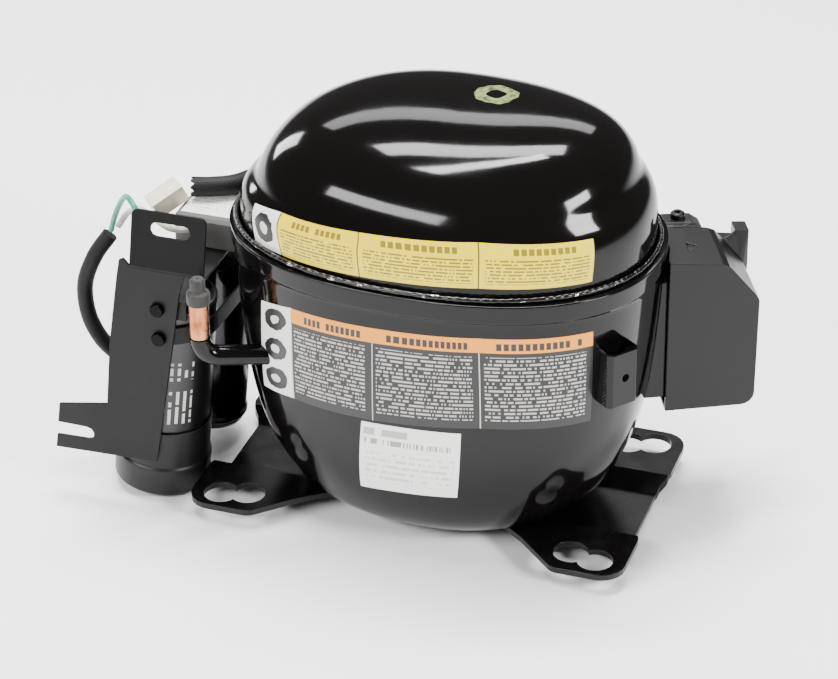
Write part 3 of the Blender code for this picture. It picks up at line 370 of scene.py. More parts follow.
def dashes(tree, u, v, rows, cells, fill_share=0.55, missing=0.28, gap=0.0):
    """Generic print: rows of short dashes. A row is inked over its lower part, and each cell along it is
    inked, bar a gap, unless its own random number is low, so no letter is ever drawn."""
    across = add(tree, "Math", u, cells, operation="MULTIPLY")
    up = add(tree, "Math", v, rows, operation="MULTIPLY")
    column = add(tree, "Math", across, operation="FLOOR")
    cell = add(tree, "CombineXYZ", column, add(tree, "Math", up, operation="FLOOR"))
    chance = add(tree, "TexWhiteNoise", cell, noise_dimensions="2D")
    along = add(tree, "Math", across, operation="FRACT")
    within = add(tree, "Math", up, operation="FRACT")
    return overlap(tree, add(tree, "Math", within, fill_share, operation="LESS_THAN"),
                   add(tree, "Math", along, gap, operation="GREATER_THAN"),
                   add(tree, "Math", chance, missing, operation="GREATER_THAN"))


def inked(tree, mask, paper, ink):
    """Paper with ink over it where the mask is 1."""
    return add(tree, "Mix", mask, sockets={6: paper, 7: ink}, data_type="RGBA")


def black_enamel(edge=0.0):
    """Sprayed and stoved enamel on drawn steel: near black, wet looking, with a faint orange peel."""
    made, tree, shader = shaded("stoved_black_enamel", "#0a0808", 0.1, IOR=1.5, Specular_IOR_Level=0.25)
    fill(shader, {"Roughness": add(tree, "MapRange", clouds(tree, 28, 3), 0, 1, 0.05, 0.13)})
    relief(tree, shader, clouds(tree, 9, 1), 0.03, edge)
    return made


def plate_enamel():
    """The same enamel on the stamped plate, a little duller, with random patches of dust."""
    made, tree, shader = shaded("plate_black_enamel", "#090808", 0.2, IOR=1.5, Specular_IOR_Level=0.3)
    dust = add(tree, "ValToRGB", clouds(tree, 16, 5), stops=[(0.52, "#080707"), (0.8, "#151311")])
    dull = add(tree, "MapRange", clouds(tree, 9, 4), 0, 1, 0.14, 0.34)
    fill(shader, {"Base Color": dust, "Roughness": dull})
    relief(tree, shader, clouds(tree, 3.0, 2), 0.02, 0.7)
    return made


def sheet_paint():
    """Powder coat on folded sheet: satin charcoal with a fine leathery grain."""
    made, tree, shader = shaded("satin_powder_coat", "#0f0e0e", 0.42, IOR=1.48, Specular_IOR_Level=0.22)
    tone = add(tree, "ValToRGB", clouds(tree, 22, 4), stops=[(0.3, "#070606"), (0.75, "#0f0e0d")])
    grain = add(tree, "MapRange", clouds(tree, 1.2, 2), 0, 1, 0.34, 0.52)
    fill(shader, {"Base Color": tone, "Roughness": grain})
    relief(tree, shader, clouds(tree, 0.8, 2), 0.015, 0.5)
    return made


def moulded_black(name="moulded_black_abs", colour="#0c0b0b", roughness=0.34):
    """Flame retardant moulding: a spark-eroded skin that softens every highlight."""
    made, tree, shader = shaded(name, colour, roughness, IOR=1.53, Specular_IOR_Level=0.26)
    skin = add(tree, "MapRange", clouds(tree, 14, 3), 0, 1, roughness - 0.05, roughness + 0.09)
    fill(shader, {"Roughness": skin})
    relief(tree, shader, clouds(tree, 0.7, 2), 0.02, 0.9)
    return made


def rubber():
    """Moulded nitrile rubber: matt, faintly bloomed."""
    made, tree, shader = shaded("nitrile_rubber", "#141313", 0.62, IOR=1.5, Sheen_Weight=0.15)
    bloom = add(tree, "ValToRGB", clouds(tree, 5, 4), stops=[(0.4, "#121111"), (0.85, "#2a2725")])
    fill(shader, {"Base Color": bloom})
    relief(tree, shader, clouds(tree, 0.6, 2), 0.02)
    return made


def copper_tube():
    """Drawn copper: bright orange metal with lengthwise draw lines and brown handling marks."""
    made, tree, shader = shaded("drawn_copper", "#c98560", 0.26, Metallic=1.0)
    marks = [(0.25, "#8f5132"), (0.5, "#c77f58"), (0.85, "#e6a784")]
    tone = add(tree, "ValToRGB", clouds(tree, 5, 4, (1, 1, 0.5)), stops=marks)
    handled = add(tree, "MapRange", clouds(tree, 2.5, 3), 0, 1, 0.18, 0.4)
    fill(shader, {"Base Color": tone, "Roughness": handled})
    relief(tree, shader, clouds(tree, 0.5, 2, (1, 1, 0.06)), 0.02)
    return made


def braid(name="woven_sleeve", colour="#121212", threads=32, picks=260):
    """Woven polyester sleeving: two families of flat yarns that cross at a slant round the bundle."""
    made, tree, shader = shaded(name, colour, 0.6, IOR=1.5, Specular_IOR_Level=0.25)
    u, v = skin_axes(tree)
    around = add(tree, "Math", u, threads * math.pi, operation="MULTIPLY")
    along = add(tree, "Math", v, picks * math.pi, operation="MULTIPLY")
    one = add(tree, "Math", add(tree, "Math", around, along, operation="ADD"), operation="SINE")
    other = add(tree, "Math", add(tree, "Math", around, along, operation="SUBTRACT"), operation="SINE")
    weave = add(tree, "Math", one, other, operation="MAXIMUM")
    fill(shader, {"Base Color": add(tree, "ValToRGB", weave, stops=[(0.2, "#060606"), (0.95, "#151414")])})
    relief(tree, shader, weave, 0.05)
    return made


def wire_skin(name, colour, dark):
    """PVC insulation: waxy, with slow changes of tone and a soft gloss."""
    made, tree, shader = shaded(name, colour, 0.38, IOR=1.53)
    tone = add(tree, "ValToRGB", clouds(tree, 6, 2), stops=[(0.3, dark), (0.7, colour)])
    fill(shader, {"Base Color": tone})
    relief(tree, shader, clouds(tree, 1.0, 1), 0.01)
    return made


def nylon(name="natural_nylon", colour="#e9e2cf", dark="#d6ccb2"):
    """Unpigmented nylon: cream, slightly see-through, glossy on its moulded faces."""
    made, tree, shader = shaded(name, colour, 0.35, IOR=1.53, Subsurface_Weight=0.12, Subsurface_Scale=0.002)
    tone = add(tree, "ValToRGB", clouds(tree, 7, 2), stops=[(0.3, dark), (0.7, colour)])
    fill(shader, {"Base Color": tone})
    relief(tree, shader, clouds(tree, 1.0, 1), 0.01, 0.5)
    return made


def yellow_label():
    """Printed vinyl, three yellow panels: a dark head line over rows of fine dark dashes, thin dividers."""
    made, tree, shader = shaded("yellow_vinyl", "#f2d400", 0.3, IOR=1.5)
    u, v = skin_axes(tree)
    column = third(tree, u)
    body = overlap(tree, dashes(tree, u, v, 13, 210, 0.5, 0.25),
                   band(tree, v, 0.1, 0.66), band(tree, column, 0.05, 0.95))
    head = overlap(tree, dashes(tree, u, v, 1, 48, 1.0, 0.12, 0.3),
                   band(tree, v, 0.76, 0.9), band(tree, column, 0.2, 0.82))
    print_share = overlap(tree, add(tree, "Math", body, head, operation="ADD"), 0.8)
    edge = add(tree, "Math", 1.0, band(tree, column, 0.006, 0.994), operation="SUBTRACT")
    paper = inked(tree, edge, "#f2d400", "#4c4620")
    fill(shader, {"Base Color": inked(tree, print_share, paper, "#4a4420")})
    relief(tree, shader, clouds(tree, 30, 1), 0.05)
    return made


def orange_label():
    """Printed vinyl, three black panels with an orange head band and rows of fine white dashes."""
    made, tree, shader = shaded("orange_black_vinyl", "#0d0c0c", 0.32, IOR=1.5)
    u, v = skin_axes(tree)
    column = third(tree, u)
    body = overlap(tree, dashes(tree, u, v, 24, 200, 0.5, 0.3),
                   band(tree, v, 0.09, 0.8), band(tree, column, 0.04, 0.93), 0.72)
    word = overlap(tree, dashes(tree, u, v, 1, 51, 1.0, 0.12, 0.3),
                   band(tree, v, 0.875, 0.95), band(tree, column, 0.12, 0.9))
    split = overlap(tree, band(tree, v, 0.0, 0.84), add(tree, "Math", column, 0.008, operation="LESS_THAN"))
    panel = inked(tree, split, inked(tree, body, "#0c0b0b", "#c9c6c0"), "#c9c6c0")
    strip = inked(tree, word, "#f29400", "#21140a")
    top = add(tree, "Math", v, 0.845, operation="GREATER_THAN")
    fill(shader, {"Base Color": inked(tree, top, panel, strip)})
    relief(tree, shader, clouds(tree, 30, 1), 0.05)
    return made


def white_label(name="white_polyester_label"):
    """White polyester data label with pale grey rows of dashes and a barcode of plain bars."""
    made, tree, shader = shaded(name, "#f4f3f0", 0.35, IOR=1.5)
    u, v = skin_axes(tree)
    text = overlap(tree, dashes(tree, u, v, 11, 60, 0.42, 0.45),
                   band(tree, v, 0.12, 0.62), band(tree, u, 0.06, 0.94), 0.35)
    code = overlap(tree, dashes(tree, u, v, 1, 84, 1.0, 0.5),
                   band(tree, v, 0.7, 0.78), band(tree, u, 0.05, 0.9), 0.75)
    title = overlap(tree, dashes(tree, u, v, 1, 13, 1.0, 0.3),
                    band(tree, v, 0.83, 0.93), band(tree, u, 0.03, 0.45), 0.6)
    lower = add(tree, "Math", text, code, operation="ADD")
    print_share = add(tree, "Math", lower, title, operation="ADD")
    fill(shader, {"Base Color": inked(tree, print_share, "#f4f3f0", "#4a4a4c")})
    relief(tree, shader, clouds(tree, 30, 1), 0.04)
    return made


def pictogram_label(name, marks):
    """White vinyl with round black marks, one above another, each with a ragged paler middle."""
    made, tree, shader = shaded(name, "#eceae6", 0.35, IOR=1.5)
    u, v = skin_axes(tree)
    place = add(tree, "Math", add(tree, "Math", v, marks, operation="MULTIPLY"), operation="FRACT")
    across = add(tree, "Math", u, 0.5, operation="SUBTRACT")
    up = add(tree, "Math", place, 0.5, operation="SUBTRACT")
    square = add(tree, "Math", overlap(tree, across, across), overlap(tree, up, up), operation="ADD")
    wander = add(tree, "MapRange", clouds(tree, 4.0, 2), 0, 1, -0.07, 0.07)
    ragged = add(tree, "Math", add(tree, "Math", square, operation="SQRT"), wander, operation="ADD")
    mark = add(tree, "Math", ragged, 0.36, operation="LESS_THAN")
    middle = overlap(tree, add(tree, "Math", ragged, 0.14, operation="LESS_THAN"), 0.8)
    print_share = add(tree, "Math", mark, middle, operation="SUBTRACT")
    fill(shader, {"Base Color": inked(tree, print_share, "#eceae6", "#151414")})
    relief(tree, shader, clouds(tree, 30, 1), 0.04)
    return made


def printed_can():
    """Phenolic capacitor case: semi-gloss black with upright columns of white dashes on one side."""
    made, tree, shader = shaded("printed_phenolic_case", "#0f0f10", 0.3, IOR=1.55)
    u, v = skin_axes(tree)
    columns = add(tree, "Math", u, 37, operation="MULTIPLY")
    step = add(tree, "Math", add(tree, "Math", v, 90, operation="MULTIPLY"), operation="FLOOR")
    cell = add(tree, "CombineXYZ", add(tree, "Math", columns, operation="FLOOR"), step)
    chance = add(tree, "TexWhiteNoise", cell, noise_dimensions="2D")
    across = add(tree, "Math", columns, operation="FRACT")
    heights = add(tree, "Math", band(tree, v, 0.32, 0.47), band(tree, v, 0.52, 0.6), operation="ADD")
    ink = overlap(tree, add(tree, "Math", across, 0.42, operation="LESS_THAN"),
                  add(tree, "Math", chance, 0.3, operation="GREATER_THAN"), heights, band(tree, u, 0.76, 0.9))
    fill(shader, {"Base Color": inked(tree, ink, "#0f0f10", "#cfcdc8")})
    relief(tree, shader, clouds(tree, 1.6, 2), 0.012)
    return made


def gloss_can():
    """Moulded polypropylene case: deep black and glossy with soft ripples."""
    made, tree, shader = shaded("gloss_polypropylene", "#090909", 0.14, IOR=1.5)
    fill(shader, {"Roughness": add(tree, "MapRange", clouds(tree, 20, 2), 0, 1, 0.09, 0.2)})
    relief(tree, shader, clouds(tree, 12, 1), 0.03)
    return made


def weld_metal():
    """Brazed and painted bead: black over ripples, with a few flecks of bare bright steel."""
    made, tree, shader = shaded("painted_weld_bead", "#121110", 0.22, IOR=1.5)
    fleck = add(tree, "Math", clouds(tree, 6, 4), 0.63, operation="GREATER_THAN")
    fill(shader, {"Base Color": inked(tree, fleck, "#0e0d0c", "#b9b6b0"), "Metallic": fleck})
    relief(tree, shader, clouds(tree, 2.2, 3), 0.25)
    return made


def paint_mark():
    """Marking paint dabbed on with a stamp: olive green and uneven."""
    made, tree, shader = shaded("olive_marking_paint", "#7d8a4c", 0.5, IOR=1.5)
    tones = [(0.36, "#15170a"), (0.5, "#5c6831"), (0.8, "#85935a")]
    fill(shader, {"Base Color": add(tree, "ValToRGB", clouds(tree, 2.4, 5), stops=tones)})
    relief(tree, shader, clouds(tree, 1.4, 4), 0.12)
    return made


def machined_steel(name="machined_steel", colour="#a4a5a7", roughness=0.28):
    """Turned and ground steel: bright, with fine tool lines."""
    made, tree, shader = shaded(name, colour, roughness, Metallic=1.0)
    lines = clouds(tree, 0.8, 2, (1, 1, 8))
    fill(shader, {"Roughness": add(tree, "MapRange", lines, 0, 1, roughness - 0.08, roughness + 0.1)})
    relief(tree, shader, clouds(tree, 0.5, 2, (1, 1, 8)), 0.01, 0.3)
    return made


def cast_iron():
    """Grey iron as cast: dark, sandy and almost matt."""
    made, tree, shader = shaded("grey_cast_iron", "#4b4a49", 0.6, Metallic=0.85)
    tone = add(tree, "ValToRGB", clouds(tree, 6, 5), stops=[(0.3, "#3a3938"), (0.8, "#605e5b")])
    fill(shader, {"Base Color": tone})
    relief(tree, shader, clouds(tree, 1.2, 4), 0.12, 0.8)
    return made


def laminations():
    """Stacked electrical steel: 0.5 mm sheets seen edge on, drawn at 1 mm so that they show."""
    made, tree, shader = shaded("stacked_laminations", "#6a6b6f", 0.4, Metallic=0.9)
    height = add(tree, "SeparateXYZ", add(tree, "TexCoord").outputs["Object"]).outputs["Z"]
    count = add(tree, "Math", height, 1 / MM, operation="MULTIPLY")
    sheets = add(tree, "Math", count, 0.5, operation="PINGPONG")
    tone = add(tree, "ValToRGB", sheets, stops=[(0.0, "#2d2d2f"), (0.25, "#77787c")])
    fill(shader, {"Base Color": tone})
    relief(tree, shader, sheets, 0.15)
    return made


def winding_copper():
    """Varnished winding wire: dark red copper strands laid side by side under lacing."""
    made, tree, shader = shaded("varnished_winding", "#8c3f1e", 0.3, Metallic=0.7, Coat_Weight=0.4)
    strands = clouds(tree, 1.2, 2, (1, 1, 5))
    tone = add(tree, "ValToRGB", strands, stops=[(0.35, "#4d1d0c"), (0.7, "#b5562b")])
    fill(shader, {"Base Color": tone})
    relief(tree, shader, strands, 0.3)
    return made


def cast_aluminium():
    """Die-cast and turned aluminium: pale, lightly pitted."""
    made, tree, shader = shaded("turned_aluminium", "#c3c4c6", 0.34, Metallic=1.0)
    fill(shader, {"Roughness": add(tree, "MapRange", clouds(tree, 3, 3), 0, 1, 0.26, 0.44)})
    relief(tree, shader, clouds(tree, 0.9, 3), 0.03, 0.3)
    return made


# ---- settings --------------------------------------------------------------------------------------

class ShellSettings(bpy.types.PropertyGroup):
    columns: IntProperty(name="Columns", description="Steps round the shell", default=240, min=48, max=480)
    collar_height: FloatProperty(name="Collar height", description="Height of the band below the rim, in mm",
                                 default=10.5, min=2.0, max=30.0)
    collar_step: FloatProperty(name="Collar step", description="How far the collar stands out, in mm",
                               default=0.9, min=0.1, max=2.0)
    bead_radius: FloatProperty(name="Weld bead radius", description="Radius of the weld bead, in mm",
                               default=1.3, min=0.5, max=3.0)


class StageSettings(bpy.types.PropertyGroup):
    floor_colour: FloatVectorProperty(name="Floor", description="Colour of the pale floor", subtype="COLOR",
                                      default=(0.97, 0.97, 0.97), min=0.0, max=1.0)
    light_power: FloatProperty(name="Light", description="Power of the overhead softbox", default=40.0,
                               min=0.0, max=500.0, unit="POWER")


SETTINGS = (("compressor_shell", ShellSettings), ("compressor_stage", StageSettings))


# ---- operators -------------------------------------------------------------------------------------

LIGHTS = (
    # name, place, aim, size of the panel, share of the light power
    ("overhead_softbox", (-0.2, 0.42, 1.55), (0.0, 0.0, 0.1), (1.1, 0.3), 1.0),
    ("front_softbox", (-0.7, -1.12, 0.95), (0.0, 0.0, 0.12), (1.3, 0.24), 0.7),
    ("right_softbox", (1.3, -0.4, 0.85), (0.0, 0.0, 0.12), (0.5, 0.3), 0.75),
    ("back_softbox", (-0.42, 1.1, 1.1), (0.0, 0.0, 0.12), (1.5, 0.25), 0.22),
    ("left_softbox", (-1.3, 0.7, 0.5), (0.0, 0.0, 0.12), (0.25, 0.5), 0.25),
    ("near_softbox", (-0.1, 0.08, 1.75), (0.0, 0.0, 0.1), (1.0, 0.16), 0.9),
)
CAMERA_PLACE, CAMERA_TURN = (0.4226, -1.2576, 0.8717), (59.33, 0.52, 18.69)
CAMERA_LENS = 136.7
FLOOR_HALF = 6
AIR_COLOUR, AIR_STRENGTH = (1.0, 0.99, 0.97, 1.0), 0.1


class MakeStage(bpy.types.Operator):
    """Pale floor, soft studio lights and the camera"""
    bl_idname = "compressor.make_stage"
    bl_label = "Stage"

    def execute(self, context):
        scene = context.scene
        settings = scene.compressor_stage
        lens = bpy.data.cameras.new("studio_camera")
        lens.lens = CAMERA_LENS
        lens.sensor_width = 36.0
        lens.clip_start = 0.05
        camera = bpy.data.objects.new("studio_camera", lens)
        camera.location = CAMERA_PLACE
        camera.rotation_euler = tuple(math.radians(turn) for turn in CAMERA_TURN)
        scene.collection.objects.link(camera)
        scene.camera = camera

        mesh = bpy.data.meshes.new("studio_floor")
        corners = [(x * FLOOR_HALF, y * FLOOR_HALF, 0) for x, y in ((-1, -1), (1, -1), (1, 1), (-1, 1))]
        mesh.from_pydata(corners, [], [(0, 1, 2, 3)])
        made, tree, shader = shaded("pale_floor", "#ffffff", 0.6)
        worn = add(tree, "MapRange", clouds(tree, 400, 2), 0, 1, 0.55, 0.65)
        fill(shader, {"Base Color": (*settings.floor_colour, 1.0), "Roughness": worn})
        mesh.materials.append(made)
        ground = bpy.data.objects.new("studio_floor", mesh)
        scene.collection.objects.link(ground)

        world = bpy.data.worlds.new("studio_air")
        world.use_nodes = True
        fill(world.node_tree.nodes["Background"], {"Color": AIR_COLOUR, "Strength": AIR_STRENGTH})
        scene.world = world
        for name, place, aim, size, share in LIGHTS:
            lamp = bpy.data.lights.new(name, "AREA")
            lamp.shape = "RECTANGLE"
            lamp.size, lamp.size_y = size
            lamp.energy = settings.light_power * share
            spot = bpy.data.objects.new(name, lamp)
            spot.location = place
            toward = np.array(aim) - np.array(place)
            tilt = math.atan2(math.hypot(toward[0], toward[1]), -toward[2])
            spot.rotation_euler = (tilt, 0.0, math.atan2(toward[1], toward[0]) - math.pi / 2)
            scene.collection.objects.link(spot)
        return {"FINISHED"}


COLLAR_LEAD = 1.6  # height over which the collar swells from the bowl
RIM_ROUND = 0.7
LAP = 6.0  # how far the upper shell's skirt drops inside the lower one
MARK_X, MARK_Y, MARK_OUTER, MARK_INNER = 23.2, 17.0, 10.3, 4.6


class MakeShell(bpy.types.Operator):
    """Lower shell with its collar, upper shell and the weld bead between them"""
    bl_idname = "compressor.make_shell"
    bl_label = "Shell"

    def execute(self, context):
        settings = context.scene.compressor_shell
        enamel = black_enamel()
        angle = np.linspace(0, 2 * math.pi, settings.columns, endpoint=False)[None, :]
        collar = RIM - settings.collar_height
        low = RIM - BOWL_DEPTH
        outer = low + (collar - low) * (1 - np.cos(math.pi / 2 * np.linspace(0, 1, 100)))
        step = np.linspace(0, 1, 9)[1:, None]
        swell = settings.collar_step * step * step * (3 - 2 * step)
        turn = np.linspace(0, math.pi / 2, 5)[1:, None]
        rounded = settings.collar_step - RIM_ROUND * (1 - np.cos(turn))
        dip = 1 - np.cos(math.pi / 2 * np.linspace(1, 0, 40))
        inner = low + WALL + (BOWL_DEPTH - WALL - 0.4) * dip
        lining = bowl(angle, (RIM - (RIM - inner) / (BOWL_DEPTH - WALL) * BOWL_DEPTH)[:, None], -WALL)
        lining[..., 2] = inner[:, None]
        rows = [
            bowl(angle, outer[:, None]),
            bowl(angle, collar + COLLAR_LEAD * step, swell),
            bowl(angle, np.linspace(collar + 2.2, RIM - RIM_ROUND, 9)[:, None], settings.collar_step),
            bowl(angle, RIM - RIM_ROUND * (1 - np.sin(turn)), rounded),
            bowl(angle, np.array([[RIM]]), -2.6),
            lining,
        ]
        wrapped("lower_shell_skin", np.vstack(rows), enamel, "housing", ("lower_shell",))

        share = np.sin(0.5 * math.pi * np.linspace(0, 1, 110) ** 0.85)[:, None]
        crown = dome(angle, share)
        skirt = dome(angle, np.zeros((1, 1)), -1.3)
        skirt[..., 2] = RIM - LAP
        inside = dome(angle, share[::-3], -WALL)
        inside[..., 2] = RIM + (inside[..., 2] - RIM) * ((DOME_HEIGHT - WALL) / DOME_HEIGHT)
        lip = dome(angle, np.zeros((1, 1)), -3.6)
        lip[..., 2] = RIM - LAP
        cap = np.vstack([inside, lip, skirt, crown])
        wrapped("upper_shell_skin", cap, enamel, "housing", ("upper_shell",))

        radius = settings.bead_radius
        around = np.linspace(0, 2 * math.pi, 720, endpoint=False)[:, None]
        about = np.linspace(0, 2 * math.pi, 12, endpoint=False)[None, :]
        ripple = 1 + 0.1 * np.sin(around * 150) + 0.08 * np.sin(around * 47 + 1.0)
        bead = dome(around, np.zeros((1, 1)), 0.5 + radius * (1 + np.cos(about) * ripple))
        bead[..., 2] = RIM + 0.35 + radius * (1 + np.sin(about) * ripple)
        wrapped("weld_bead_skin", bead, weld_metal(), "housing", ("weld_bead",), ring=True)

        turn = np.linspace(0, 2 * math.pi, 96, endpoint=False)[None, :]
        reach = np.linspace(0, 1, 8)[:, None]
        ragged = MARK_OUTER + 0.35 * np.sin(turn * 5) + 0.25 * np.sin(turn * 11 + 2)
        ring = MARK_INNER + 0.3 * np.sin(turn * 4) + (ragged - MARK_INNER) * reach
        x, y = MARK_X + ring * np.cos(turn), MARK_Y + ring * np.sin(turn)
        z = RIM + DOME_HEIGHT * dome_share(x, y)
        top = np.stack([x, y, z + 0.12], axis=-1)
        under = np.stack([x, y, z - 0.25], axis=-1)
        dab = np.vstack([top, under[::-1]])
        wrapped("paint_mark", dab, paint_mark(), "housing", ring=True)
        return {"FINISHED"}


RELAY_TOP = 133.12
LABEL_PROUD, LABEL_SUNK = 0.22, -0.15


class MakeLabels(bpy.types.Operator):
    """Vinyl labels on both shells, with generic dashes in place of words"""
    bl_idname = "compressor.make_labels"
    bl_label = "Labels"

    def execute(self, context):
        place_label("yellow_label", dome_patch, yellow_label(),
                    [(-131.2, 170.5), (-101.8, 174.2), (-70.8, 176.8), (-34.2, 174.4)],
                    [(-125.8, 151.8), (-99.7, 153.8), (-70.7, 155.7), (-35.3, 154.5)])
        place_label("flame_pictogram_label", dome_patch, pictogram_label("hazard_white_vinyl", 1),
                    [(-145.4, 166.8), (-131.6, 170.5)], [(-140.4, 150.6), (-126.2, 151.8)])
        place_label("orange_label", bowl, orange_label(),
                    [(-119.6, 128.0), (-95.4, 129.5), (-71.8, 131.5), (-36.8, 130.9)],
                    [(-122.4, 76.2), (-96.4, 77.7), (-70.8, 81.6), (-34.6, 80.4)])
        place_label("tool_pictogram_label", bowl, pictogram_label("care_white_vinyl", 3),
                    [(-133.6, 123.7), (-119.8, 128.0)], [(-139.6, 72.3), (-122.6, 76.2)])
        x, y = np.meshgrid(np.linspace(-133.5, -107.5, 12), np.linspace(1.5, 34.0, 12), indexing="xy")
        top = np.stack([x, y, np.full_like(x, RELAY_TOP)], axis=-1)
        under = top - np.array([0.0, 0.0, 0.2])
        slab("relay_label", top, under, white_label("relay_polyester_label"), "housing")
        place_label("data_label", bowl, white_label(),
                    [(-99.4, 76.0), (-75.9, 77.6)], [(-102.6, 35.6), (-76.2, 38.9)])
        return {"FINISHED"}


def dome_patch(angle, z, out):
    """The dome by height, as the bowl is given."""
    return dome(angle, (z - RIM) / DOME_HEIGHT, out)


def place_label(name, patch, finish, top, bottom):
    """A label over a patch of shell: its edges are broken lines of (angle in degrees, height), its columns
    spread evenly over them, and every point between is their straight mix before it meets the surface."""
    top, bottom = np.array(top), np.array(bottom)
    knots = np.linspace(0, 1, len(top))
    u = np.linspace(0, 1, 24 * (len(top) - 1) + 1)
    upper = np.stack([np.interp(u, knots, top[:, i]) for i in range(2)])
    lower = np.stack([np.interp(u, knots, bottom[:, i]) for i in range(2)])
    v = np.linspace(0, 1, 24)[:, None]
    angle = np.radians(lower[0] + (upper[0] - lower[0]) * v)
    z = lower[1] + (upper[1] - lower[1]) * v
    above, under = patch(angle, z, LABEL_PROUD), patch(angle, z, LABEL_SUNK)
    slab(name, above, under, finish, "housing")


START_LEAN, RUN_LEAN = math.radians(6.5), math.radians(4.0)
START_FOOT, START_AXIS = (-136.0, -32.0, 3.2), (math.sin(START_LEAN), 0.0, math.cos(START_LEAN))
RUN_FOOT, RUN_AXIS = (-127.0, 12.6, 10.0), (math.sin(RUN_LEAN), 0.0, math.cos(RUN_LEAN))


class MakeCapacitors(bpy.types.Operator):
    """Start capacitor in its boot, and the run capacitor behind it"""
    bl_idname = "compressor.make_capacitors"
    bl_label = "Capacitors"

    def execute(self, context):
        case = [(17.5, 3.4), (21.4, 4.6), (21.4, 104.4), (19.8, 105.6), (5.0, 105.6), (5.0, 108.6),
                (0.3, 108.6)]
        grid = turned_grid(eased(case, 1.2), START_FOOT, START_AXIS, 128)
        wrapped("start_capacitor_case", grid, printed_can(), "housing", ("start_capacitor",))
        boot = [(4.0, 0.0), (23.0, 0.0), (23.8, 0.9), (23.8, 14.6), (22.7, 15.6), (22.6, 36.0),
                (21.8, 36.0), (21.8, 3.0), (4.0, 3.0)]
        grid = turned_grid(eased(boot, 0.6, 4), START_FOOT, START_AXIS, 128)
        wrapped("start_capacitor_sleeve", grid, moulded_black("moulded_boot", "#131313", 0.36), "housing",
                ("start_capacitor_boot",), ring=True)
        case = [(0.3, 0.0), (12.0, 0.0), (16.4, 2.2), (17.0, 4.4), (17.0, 5.2), (18.0, 5.6), (18.0, 8.2),
                (17.3, 8.8), (17.5, 12.0), (18.0, 30.0), (18.0, 96.6), (16.5, 98.0), (5.0, 98.0),
                (5.0, 102.0), (0.3, 102.0)]
        grid = turned_grid(eased(case, 1.0, 4), RUN_FOOT, RUN_AXIS, 96)
        wrapped("run_capacitor_case", grid, gloss_can(), "housing", ("run_capacitor",))
        return {"FINISHED"}


SUCTION_EXIT, SUCTION_CORNER = np.array([-72.5, -50.5, 92.0]), np.array([-98.0, -64.1, 94.65])
SUCTION_RADIUS, SUCTION_BEND = 5.0, 8.5
CAP_LIFT = 18.25  # height of the rubber cap's mouth above the foot of the copper stub


class MakeStubs(bpy.types.Operator):
    """Suction elbow with its copper stub and rubber cap"""
    bl_idname = "compressor.make_stubs"
    bl_label = "Stubs"

    def execute(self, context):
        corner = SUCTION_CORNER
        out = (corner - SUCTION_EXIT) / np.linalg.norm(corner - SUCTION_EXIT)
        top = corner + np.array([0.0, 0.0, 10.0])
        route = elbow_route(SUCTION_EXIT - out * 12, corner, top, SUCTION_BEND)
        grid = tube_grid(route, SUCTION_RADIUS, 48, (-out[1], out[0], 0.0))
        wrapped("suction_elbow", grid, black_enamel(), "housing", ("suction_tube",))
        low = top[2] + 0.35
        tube = [(0.3, 0.0), (4.5, 0.0), (4.76, 0.3), (4.76, 21.6), (4.3, 22.0), (0.3, 22.0)]
        grid = turned_grid(eased(tube, 0.3, 3), (corner[0], corner[1], low), (0, 0, 1), 64)
        wrapped("suction_copper", grid, copper_tube(), "housing", ("suction_stub",))
        cap = [(4.84, 0.0), (5.6, 0.0), (5.6, 5.8), (4.6, 6.4), (3.7, 6.9), (3.6, 12.2), (2.8, 13.4),
               (0.4, 13.4), (0.4, 4.1), (4.84, 4.1)]
        grid = turned_grid(eased(cap, 0.5, 4), (corner[0], corner[1], low + CAP_LIFT), (0, 0, 1), 64)
        wrapped("suction_rubber_cap", grid, rubber(), "suction_plug", ("suction_cap",),
                ring=True)
        return {"FINISHED"}


HARNESS = [
    (-133.7, 15.5, 139.3), (-124.0, 18.5, 139.3), (-114.0, 25.0, 139.0), (-106.0, 40.0, 137.5),
    (-92.0, 60.0, 135.0), (-66.0, 76.0, 132.0), (-30.0, 84.5, 129.0), (10.0, 86.5, 127.0),
    (48.0, 83.5, 124.0), (78.0, 74.5, 121.0), (94.0, 67.0, 119.0), (101.0, 59.0, 119.0),
    (106.0, 49.7, 119.0),
]
LOOP = [
    (-164.0, -16.0, 124.0), (-171.0, -20.0, 113.0), (-177.0, -20.5, 97.0), (-176.5, -20.5, 80.0),
    (-170.5, -20.0, 66.0), (-163.0, -16.0, 56.0), (-157.0, -6.0, 50.0), (-153.0, 6.0, 50.0),
]
GROUND = [
    (-162.2, -18.2, 127.8), (-158.0, -22.0, 138.0), (-152.0, -28.0, 149.0), (-145.0, -36.0, 158.0),
    (-138.0, -43.0, 158.0), (-133.0, -45.5, 151.0),
]
LINE = [
    (-160.4, -13.4, 128.0), (-155.0, -14.0, 136.0), (-146.0, -20.0, 143.0), (-136.0, -28.0, 145.0),
    (-126.0, -30.0, 141.0), (-119.0, -22.0, 137.5), (-118.0, -10.0, 135.2),
]
HARNESS_RADIUS, HARNESS_SIDES = 5.0, 40
TEETH, TOOTH_DEPTH = 8, 2.4  # the pinked end of the sleeve
MOUTH = 0.84  # radius of the sleeve's inside as a share of its outside


